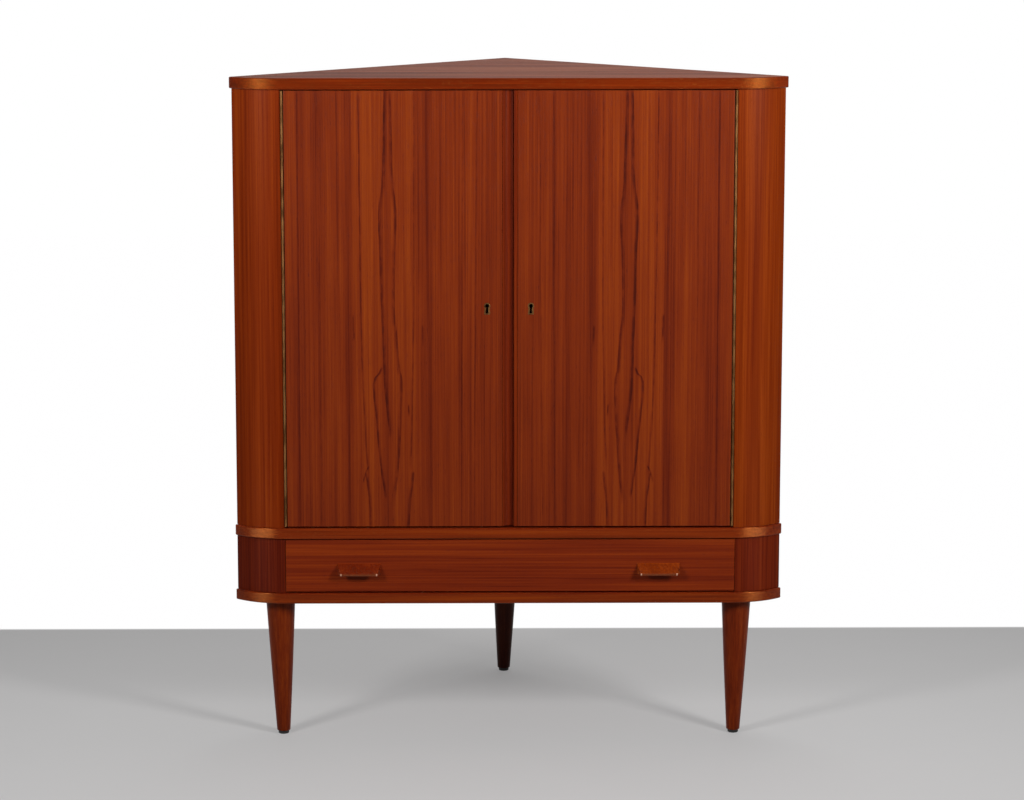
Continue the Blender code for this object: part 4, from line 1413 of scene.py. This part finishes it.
@dataclass(frozen=True)
class DoorLipping:
    """The solid edge of a door: a finger cove on the left, an arris on the right."""

    side: Side
    meeting_left: float = 0.0072
    meeting_gap: float = 0.0009
    left_width: float = 0.0187
    right_width: float = 0.0068
    thickness: float = 0.020
    cove_width: float = 0.0164
    cove_depth: float = 0.0065
    lowest_share: float = 0.6
    arris: float = 0.0014
    seam_reach: float = 0.0005
    shaded_x: float = -0.25
    shaded_y: float = -0.05
    steps: int = 24
    plan: CasePlan = CasePlan()

    def outline(self, height: float) -> list[Point]:
        """Return the lipping's section at a height, from its back round."""
        face = self.plan.face_y
        back = face + self.thickness
        if self.side is Side.RIGHT:
            near = self.meeting_left + self.meeting_gap
            far = near + self.right_width
            corners = ((far, back), (near, back), (near, face), (far, face))
            return [(x, y, height) for x, y in corners]
        seam = self.meeting_left - self.left_width
        points = [(seam, back, height), (seam, face, height)]
        lowest = self.cove_width * self.lowest_share
        reach = math.acos((self.cove_width - lowest) / lowest)
        start = self.meeting_left - self.cove_width
        for step in range(self.steps + 1):
            angle = math.pi - (math.pi - reach) * step / self.steps
            x = start + lowest + lowest * math.cos(angle)
            points.append((x, face + self.cove_depth * math.sin(angle), height))
        points.append((self.meeting_left, back, height))
        return points

    def build(self, finishes: Finishes) -> None:
        """Model the lipping and dress it."""
        node = self.side.label + "_door_lipping"
        low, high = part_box(node)
        points = self.outline(low.z)
        pen = Pen(node + "_dressed", points[0]).line(*points[1:])
        piece = pen.solid((0.0, 0.0, high.z - low.z))
        face = self.plan.face_y
        seam = low.x if self.side is Side.LEFT else high.x

        def meeting_arris(middle: Vector, way: Vector) -> bool:
            """Pick the upright edges at the front that meet the other door."""
            off_seam = abs(middle.x - seam) > self.seam_reach
            return is_upright(way) and off_seam and middle.y < face + self.cove_depth

        bevel_edges(piece, self.arris, meeting_arris, 4, SQUARE_ONLY)
        close_piece(piece)
        body = self.side.label + "_door"
        attach(piece, body, Slot.TEAK, finishes.of(LIPPING), node)

        def in_shade(normal: Vector) -> bool:
            """Pick the cove's faces that look toward its own door, to take painted shade.
            """
            return normal.x < self.shaded_x and normal.y < self.shaded_y

        # The cove's faces toward its own door get painted shade
        if self.side is Side.LEFT:
            finish_faces(piece, finishes.of(COVE_SHADE_TEAK), in_shade)


@dataclass(frozen=True)
class Escutcheon:
    """A thread escutcheon: a keyhole-shaped brass ring set into the door."""

    side: Side
    from_middle: float = 0.0382
    height: float = 0.782
    radius: float = 0.0035
    neck: float = 0.0017
    foot: float = 0.0024
    drop: float = 0.0131
    rim: float = 0.0019
    lip_extra: float = 0.0009
    lip_rise: float = 0.0003
    edge: float = 0.00018
    least_angle: float = math.radians(60.0)
    facing_y: float = -0.5
    side_steps: int = 3
    steps: int = 36

    def model(self, name: str, center: Vector, depth: float) -> bpy.types.Object:
        """Model the ring and the two flanges that widen its front.

        Args:
            name: the piece's name.
            center: the middle of the keyhole's round part, on the ring's front.
            depth: the ring's depth.

        Returns:
            The closed piece.
        """

        def below(width: float, radius: float) -> Vector:
            """Return where a half width meets a circle under its middle."""
            return center + Vector((width, 0.0, -math.sqrt(radius**2 - width**2)))

        def level(width: float, rim: float) -> Vector:
            """Return a corner of a foot from its half width."""
            return center + Vector((width, 0.0, -self.drop - rim))

        around = (0.0, -1.0, 0.0)
        outer, neck, foot = (
            size + self.rim for size in (self.radius, self.neck, self.foot)
        )
        wide_neck, wide_foot = neck + self.lip_extra, foot + self.lip_extra
        top = 2 * math.pi - 2 * math.asin(wide_neck / outer)
        side = math.asin(wide_neck / outer) - math.asin(neck / outer)
        pen = Pen(name, below(neck, outer))
        for turn, steps in (
            (side, self.side_steps), (top, self.steps), (side, self.side_steps)
        ):
            pen.arc(center, turn, steps, around)
        pen.line(level(-foot, self.rim), level(foot, self.rim), below(neck, outer))
        pen.lift(below(self.neck, self.radius))
        top = 2 * math.pi - 2 * math.asin(self.neck / self.radius)
        pen.arc(center, top, self.steps, around)
        pen.line(
            level(-self.foot, 0.0), level(self.foot, 0.0), below(self.neck, self.radius)
        )
        pen.fill(hollow=True)
        for hand in (-1, 1):
            pen.lift(below(hand * wide_neck, outer))
            pen.line(
                level(hand * wide_foot, self.rim),
                level(hand * foot, self.rim),
                below(hand * neck, outer),
            )
            pen.arc(center, hand * side, self.side_steps, around)
            pen.fill()
        bpy.ops.mesh.select_all(action="SELECT")
        bpy.ops.mesh.remove_doubles(threshold=WELD)
        extrude((0.0, self.lip_rise, 0.0))
        # The flanges are the only faces with more than four corners
        mesh = bmesh.from_edit_mesh(pen.piece.data)
        bpy.ops.mesh.select_mode(type="FACE")
        for face in mesh.faces:
            if len(face.verts) > 4:
                face.select_set(False)
        bmesh.update_edit_mesh(pen.piece.data)
        extrude((0.0, depth - self.lip_rise, 0.0))
        return close_piece(pen.piece)

    def build(self, finishes: Finishes) -> None:
        """Model the ring with its wider lip and dress it."""
        node = self.side.label + "_escutcheon"
        low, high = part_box(node)
        center = Vector((self.side.value * self.from_middle, low.y, self.height))
        piece = self.model(node + "_dressed", center, high.y - low.y)

        def at_front(middle: Vector, way: Vector) -> bool:
            """Pick the edges of the lip's front."""
            return middle.y < low.y + WELD

        bevel_edges(piece, self.edge, at_front, 2, self.least_angle)
        close_piece(piece)
        body = self.side.label + "_door"
        attach(piece, body, Slot.BRASS, finishes.of(AGED_BRASS), node)
        # Faces that do not look forward, the keyhole's walls and the lip's sides, get
        # painted shade
        shade = finishes.of(SHADED_BRASS)
        finish_faces(piece, shade, lambda normal: normal.y > self.facing_y)


@dataclass(frozen=True)
class SlottedScrews:
    """A row of slotted countersunk screw heads, joined as one piece."""

    name: str
    body: str
    slot: Slot
    finish: Metal
    places: tuple[Point, ...]
    facing: Point
    radius: float = 0.0021
    rise: float = 0.00025
    cut_width: float = 0.0006
    cut_depth: float = 0.0005
    thickness: float = 0.0008
    shank: float = 0.6
    dome: tuple[tuple[float, float], ...] = ((0.0, 1.0), (0.7, 0.93), (1.0, 0.70))
    spin: float = math.radians(37.0)
    steps: int = 24

    def head(self) -> bpy.types.Object:
        """Model one head about the origin, facing up."""
        rings = [((0.0, 0.0, -self.thickness), self.radius * self.shank)]
        for height, share in self.dome:
            rings.append(((0.0, 0.0, self.rise * height), self.radius * share))
        piece = turned_rings(self.name, rings, self.steps)
        for hand in (-1, 1):
            side = (hand * self.cut_width / 2, 0.0, 0.0)
            slice_piece(piece, side, Vector((1.0, 0.0, 0.0)), cut_off=False)
        mesh = open_piece(piece)
        bpy.ops.mesh.select_mode(type="FACE")
        bpy.ops.mesh.select_all(action="DESELECT")
        for face in mesh.faces:
            middle = face.calc_center_median()
            inside = abs(middle.x) < self.cut_width / 2 and face.normal.z > 0.5
            face.select_set(inside)
        bmesh.update_edit_mesh(piece.data)
        extrude((0.0, 0.0, -self.cut_depth))
        return close_piece(piece)

    def build(self, finishes: Finishes) -> None:
        """Copy the head to each place, join the copies and dress them."""
        head = self.head()
        turn = Vector(self.facing).to_track_quat("Z", "Y").to_matrix().to_4x4()
        copies = []
        for index, place in enumerate(self.places):
            copy = head.copy()
            copy.data = head.data.copy()
            bpy.context.scene.collection.objects.link(copy)
            spin = Matrix.Rotation(self.spin * index, 4, "Z")
            copy.data.transform(Matrix.Translation(place) @ turn @ spin)
            copies.append(copy)
        bpy.data.objects.remove(head)
        select_only(*copies)
        bpy.ops.object.join()
        copies[0].name = copies[0].data.name = self.name
        attach(copies[0], self.body, self.slot, finishes.of(self.finish))


@dataclass(frozen=True)
class PianoHinge:
    """A full-length hinge: two leaves with interleaved knuckles, and screws."""

    side: Side
    axis_x: float = 0.3936
    axis_y: float = -0.25085
    radius: float = 0.0021
    bore: float = 0.0012
    leaf: float = 0.001
    leaf_width: float = 0.015
    rear: float = 0.0024
    knuckles: int = 41
    gap: float = 0.0004
    screw_depth: float = 0.0092
    screw_count: int = 13
    screw_margin: float = 0.024
    steps: int = 18

    def build_leaf(
        self, finishes: Finishes, node: str, body: str, toward: int, first: int
    ) -> None:
        """Model one leaf: a plate and every second knuckle.

        Args:
            finishes: the cabinet's finishes.
            node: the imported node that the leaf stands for.
            body: the body that it moves with.
            toward: the side of the pin that its plate is on.
            first: 0 if its lowest knuckle is the lowest of all, 1 if not.
        """
        bottom, top = self.ends()
        pitch = (top - bottom) / self.knuckles
        x, y = self.side.value * self.axis_x, self.axis_y
        outer, inner = x + toward * self.radius, x + toward * (self.radius - self.leaf)
        base = bottom + first * pitch + self.gap / 2
        pen = Pen(node + "_dressed", (outer, y + self.rear, base))
        pen.line((outer, y, base))
        reach = math.acos((self.radius - self.leaf) / self.radius)
        turn = -toward * (2 * math.pi - reach)
        pen.arc((x, y, base), turn, self.steps)
        pen.line((inner, y + self.rear, base), (outer, y + self.rear, base))
        pen.lift((x + self.bore, y, base))
        pen.arc((x, y, base), 2 * math.pi, self.steps // 2)
        piece = pen.solid((0.0, 0.0, pitch - self.gap), hollow=True)
        array = piece.modifiers.new("knuckles", "ARRAY")
        array.count = (self.knuckles + 1 - first) // 2
        array.use_relative_offset = False
        array.use_constant_offset = True
        array.constant_offset_displace = (0.0, 0.0, 2 * pitch)
        bpy.ops.object.modifier_apply(modifier=array.name)
        plate = Pen(node + "_plate", (outer, y + self.rear, bottom))
        plate.line(
            (inner, y + self.rear, bottom),
            (inner, y + self.leaf_width, bottom),
            (outer, y + self.leaf_width, bottom),
        )
        strip = plate.solid((0.0, 0.0, top - bottom))
        select_only(piece, strip)
        bpy.ops.object.join()
        attach(piece, body, Slot.BRASS, finishes.of(AGED_BRASS), node)
        span = top - bottom - 2 * self.screw_margin
        places = tuple(
            (
                inner,
                y + self.screw_depth,
                bottom + self.screw_margin + span * index / (self.screw_count - 1),
            )
            for index in range(self.screw_count)
        )
        SlottedScrews(
            node + "_screws", body, Slot.BRASS, AGED_BRASS, places,
            (-float(toward), 0.0, 0.0),
        ).build(finishes)

    def ends(self) -> tuple[float, float]:
        """Return the hinge's lower and upper end."""
        low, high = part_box(self.side.label + "_hinge_pin")
        return low.z, high.z

    def build(self, finishes: Finishes) -> None:
        """Model both leaves and dress them."""
        hand, label = self.side.value, self.side.label
        self.build_leaf(finishes, label + "_hinge_frame_leaf", "carcass", hand, 0)
        self.build_leaf(finishes, label + "_hinge_door_leaf", label + "_door", -hand, 1)


@dataclass(frozen=True)
class FittingScrews:
    """The screws near the ends of a fitting on a door's inside."""

    node: str
    body: str
    name: str
    inset: float
    radius: float
    at_corners: bool

    def build(self, finishes: Finishes) -> None:
        """Model the screws and dress them."""
        low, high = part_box(self.node)
        heights = ((low.z + high.z) / 2,)
        if self.at_corners:
            heights = (low.z + self.inset, high.z - self.inset)
        places = tuple(
            (x, high.y, z)
            for x in (low.x + self.inset, high.x - self.inset)
            for z in heights
        )
        SlottedScrews(
            self.name, self.body, Slot.STEEL, PLAIN_STEEL, places, (0.0, 1.0, 0.0),
            radius=self.radius,
        ).build(finishes)


def lock_screws(side: Side) -> FittingScrews:
    """Return the four screws of a lock case."""
    name = side.label + "_lock_"
    return FittingScrews(
        name + "case", side.label + "_door", name + "screws", 0.0055, 0.0027, True
    )


def guide_screws(node: str) -> FittingScrews:
    """Return the two screws that hold a rod guide to the left door."""
    return FittingScrews(node, "left_door", node + "_screws", 0.0028, 0.0017, False)


# Where each leg's top stands and how far its foot leans in x
LEGS = (
    TurnedLeg("left_front", (-0.40695, -0.20531), 0.003),
    TurnedLeg("right_front", (0.40695, -0.20531), -0.003),
    TurnedLeg("rear", (0.0, 0.21865), -0.003, REAR_LEG_SHADE_TEAK),
)
# Each socket's middle, radius and depth: for the rod ends and the leg tenons
ROD_PLACE = (-0.0482, -0.22405)
TOP_SOCKET = ((*ROD_PLACE, 1.1655), 0.0035, 0.013)
DECK_SOCKET = ((*ROD_PLACE, 0.3805), 0.0035, 0.013)
LEG_SOCKETS = tuple(((*leg.top, 0.256), 0.0123, 0.014) for leg in LEGS)
BOARDS = (
    RoundedBoard("top_board", 0.006, (TOP_SOCKET,), SLAB_TEAK, TOP_SHEEN_TEAK),
    RoundedBoard("deck_board", 0.0045, (DECK_SOCKET,), LEDGE_TEAK),
    RoundedBoard("base_board", 0.0045, LEG_SOCKETS, BASE_TEAK),
)
PANELS = (
    CurvedPanel("left_side_panel", Side.LEFT, 0.002, VENEER_LEFT),
    CurvedPanel("right_side_panel", Side.RIGHT, 0.002, VENEER_RIGHT),
    CurvedPanel("left_lower_panel", Side.LEFT, 0.0012, VENEER_LOW_LEFT_SHADE),
    CurvedPanel("right_lower_panel", Side.RIGHT, 0.0060, VENEER_LOW),
)
PULLS = (FingerPull(Side.LEFT, PULL_LEFT), FingerPull(Side.RIGHT, PULL_RIGHT))
FITTINGS = tuple(
    part(side)
    for side in Side
    for part in (DoorLipping, Escutcheon, PianoHinge, lock_screws)
) + (guide_screws("left_upper_rod_guide"), guide_screws("left_lower_rod_guide"))
SLOT_FINISHES = {
    Slot.VENEER: VENEER_LEFT,
    Slot.TEAK: TEAK_X,
    Slot.DARK: DARK_WOOD,
    Slot.BEECH: BEECH_WOOD,
    Slot.PLYWOOD: PLYWOOD_SHEET,
    Slot.BRASS: AGED_BRASS,
    Slot.STEEL: PLAIN_STEEL,
    Slot.NYLON: GLIDE_NYLON,
    Slot.GLASS: SHELF_GLASS,
}
NODE_FINISHES = {
    "left_door": LEFT_FLAME,
    "right_door": RIGHT_FLAME,
    "drawer_front": VENEER_X,
    "left_lock_case": LOCK_STEEL,
    "right_lock_case": LOCK_STEEL,
}


def dress_nodes(finishes: Finishes) -> None:
    """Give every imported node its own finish, or else its slot's."""
    for row in frame["record"]["subparts"]:
        name, slot = row["node"], Slot(row["material_slot"])
        finish = NODE_FINISHES.get(name, SLOT_FINISHES[slot])
        piece = frame["nodes"][name]
        piece.data.materials.clear()
        piece.data.materials.append(finishes.of(finish))
        LOG.info("node %s: %s", name, finish.name)


# Camera, floor and light


@dataclass(frozen=True)
class PhotoCamera:
    """The camera at the photograph's angle, for a 1024 by 800 picture."""

    place: Point = (-0.07764, -5.52647, 1.56462)
    focal_pixels: float = 3056.07
    shift_pixels: tuple[float, float] = (29.389, -60.0)
    turn: float = -0.342
    tilt: float = -9.075
    roll: float = -0.047
    image_width: int = 1024
    sensor: float = 36.0

    def build(self) -> None:
        """Make the camera and use it."""
        data = bpy.data.cameras.new("photo_camera")
        data.sensor_width = self.sensor
        data.lens = self.focal_pixels / self.image_width * self.sensor
        data.shift_x = self.shift_pixels[0] / self.image_width
        data.shift_y = self.shift_pixels[1] / self.image_width
        turn = Matrix.Rotation(math.radians(self.turn), 4, "Z")
        turn @= Matrix.Rotation(math.radians(90.0 + self.tilt), 4, "X")
        turn @= Matrix.Rotation(math.radians(self.roll), 4, "Z")
        bpy.context.scene.camera = place_object(data.name, data, self.place, turn)


@dataclass(frozen=True)
class SoftBox:
    """A soft light, square or an upright strip, that looks at a point."""

    name: str
    place: Point
    target: Point
    width: float
    height: float
    power: float
    spread: float = math.radians(120.0)

    def build(self) -> None:
        """Make the light."""
        data = bpy.data.lights.new(self.name, "AREA")
        data.shape = "RECTANGLE"
        data.size, data.size_y = self.width, self.height
        data.energy = self.power
        data.spread = self.spread
        way = Vector(self.target) - Vector(self.place)
        turn = way.to_track_quat("-Z", "Y").to_matrix().to_4x4()
        place_object(self.name, data, self.place, turn)


@dataclass(frozen=True)
class Studio:
    """A pale floor that ends in a white background, and soft light.

    Parts of the floor outside the picture shine in gloss only.
    """

    floor_tone: float = 0.75
    floor_bounce_tone: float = 0.35
    pale_tint: Color = (1.02, 1.0, 0.995)
    soft_tint: Color = (0.985, 0.965, 0.96)
    grain_scale: Point = (9.0, 9.0, 9.0)
    floor_roughness: float = 0.7
    floor_specular: float = 0.2
    floor_glow: float = 0.5
    floor_glow_tones: tuple[tuple[float, float], ...] = ((-1.6, 0.70), (0.5, 0.445))
    glow_color: Color = (1.0, 0.997, 1.0)
    floor_end: float = 0.526
    floor_fade: float = 0.02
    floor_shine: float = 12.0
    shine_across: tuple[tuple[float, float], ...] = ((0.95, 1.2), (2.1, 1.9))
    shine_along: tuple[tuple[float, float], ...] = ((-0.9, -1.1), (-2.4, -2.2))
    floor_size: float = 14.0
    rear_range: tuple[float, float] = (0.35, 0.8)
    fill: float = 0.10
    rear_fill: float = 0.15
    boxes: tuple[SoftBox, ...] = (
        SoftBox("right_box", (1.80, -1.98, 1.65), (0.0, -0.2, 1.6), 0.5, 0.8, 28.8),
        SoftBox("left_box", (-1.75, -2.0, 1.65), (0.0, -0.2, 1.6), 0.5, 0.8, 21.0),
        SoftBox("top_box", (0.25, 0.35, 3.0), (0.25, 0.35, 0.0), 1.2, 1.2, 8.0),
    )

    def shine(self, sheet: Sheet, glossy: Socket) -> Socket:
        """Return 1 on the floor's shining parts, for glossy rays only."""
        away = sheet.math("ABSOLUTE", sheet.place(Axis.X))
        along = sheet.place(Axis.Y)
        parts = [sheet.step(away, *bounds) for bounds in self.shine_across]
        parts += [sheet.step(along, *bounds) for bounds in self.shine_along]
        return sheet.product(glossy, *parts)

    def build_floor(self) -> None:
        """Make the floor, grey in front and white past its end."""
        select_only()
        bpy.ops.mesh.primitive_plane_add(size=self.floor_size)
        floor = bpy.context.object
        floor.name = "floor"
        sheet = Sheet("pale_floor")
        rays = sheet.add("LightPath").outputs
        pale = shaded(self.pale_tint, self.floor_tone)
        soft = shaded(self.soft_tint, self.floor_tone)
        bounce = shaded(self.pale_tint, self.floor_bounce_tone)
        grain = sheet.noise(self.grain_scale, detail=6.0)
        sheet.set(
            Base_Color=sheet.mix(
                rays["Is Diffuse Ray"], sheet.mix(grain, soft, pale), bounce
            ),
            Roughness=self.floor_roughness,
            Specular_IOR_Level=self.floor_specular,
        )
        along = sheet.place(Axis.Y)
        beyond = sheet.step(along, self.floor_end, self.floor_end + self.floor_fade)
        seen = sheet.highest(
            rays["Is Camera Ray"], rays["Is Glossy Ray"], rays["Is Transmission Ray"]
        )
        share = sheet.curve(beyond, ((0.0, self.floor_glow), (1.0, 1.0)), False)
        glow = sheet.curve(along, self.floor_glow_tones, False)
        lit = self.shine(sheet, rays["Is Glossy Ray"])
        strength = sheet.math(
            "MULTIPLY_ADD", lit, self.floor_shine, sheet.highest(glow, beyond)
        )
        white = sheet.add("Emission", Color=(*self.glow_color, 1.0), Strength=strength)
        blend = sheet.add("MixShader", Fac=sheet.product(share, seen))
        sheet.link(sheet.shader.outputs["BSDF"], blend.inputs[1])
        sheet.link(white.outputs["Emission"], blend.inputs[2])
        sheet.fill(sheet.output, Surface=blend.outputs["Shader"])
        floor.data.materials.append(sheet.material)

    def build_world(self) -> None:
        """Make a world that is white to look at and grey as light."""
        world = bpy.data.worlds.new("studio")
        bpy.context.scene.world = world
        world.use_nodes = True
        tree = Tree(world.node_tree)
        rays = tree.add("LightPath").outputs
        way = tree.add("TexCoord").outputs["Generated"]
        low, high = self.rear_range
        behind = tree.add("MapRange", Value=tree.axis(way, Axis.Y), From_Min=low)
        tree.fill(behind, From_Max=high)
        rear = behind.outputs["Result"]
        seen = tree.highest(
            rays["Is Camera Ray"],
            rays["Is Transmission Ray"],
            tree.product(rays["Is Glossy Ray"], rear),
            tree.product(rear, self.rear_fill),
        )
        strength = tree.math("MULTIPLY_ADD", seen, 1.0 - self.fill, self.fill)
        white = (1.0, 1.0, 1.0, 1.0)
        back = tree.add("Background", Color=white, Strength=strength)
        tree.add("OutputWorld", Surface=back.outputs["Background"])

    def build(self) -> None:
        """Make the floor, the world and the lights."""
        self.build_floor()
        self.build_world()
        for box in self.boxes:
            box.build()
        bpy.context.scene.view_settings.view_transform = "Standard"


def main() -> None:
    """Build the sub-assemblies in order and report each piece."""
    logging.basicConfig(level=logging.INFO, format="%(message)s")
    finishes = Finishes()
    dress_nodes(finishes)
    for part in (*BOARDS, *PANELS, *LEGS, *PULLS, *FITTINGS):
        part.build(finishes)
    PhotoCamera().build()
    Studio().build()


if __name__ == "__main__":
    main()
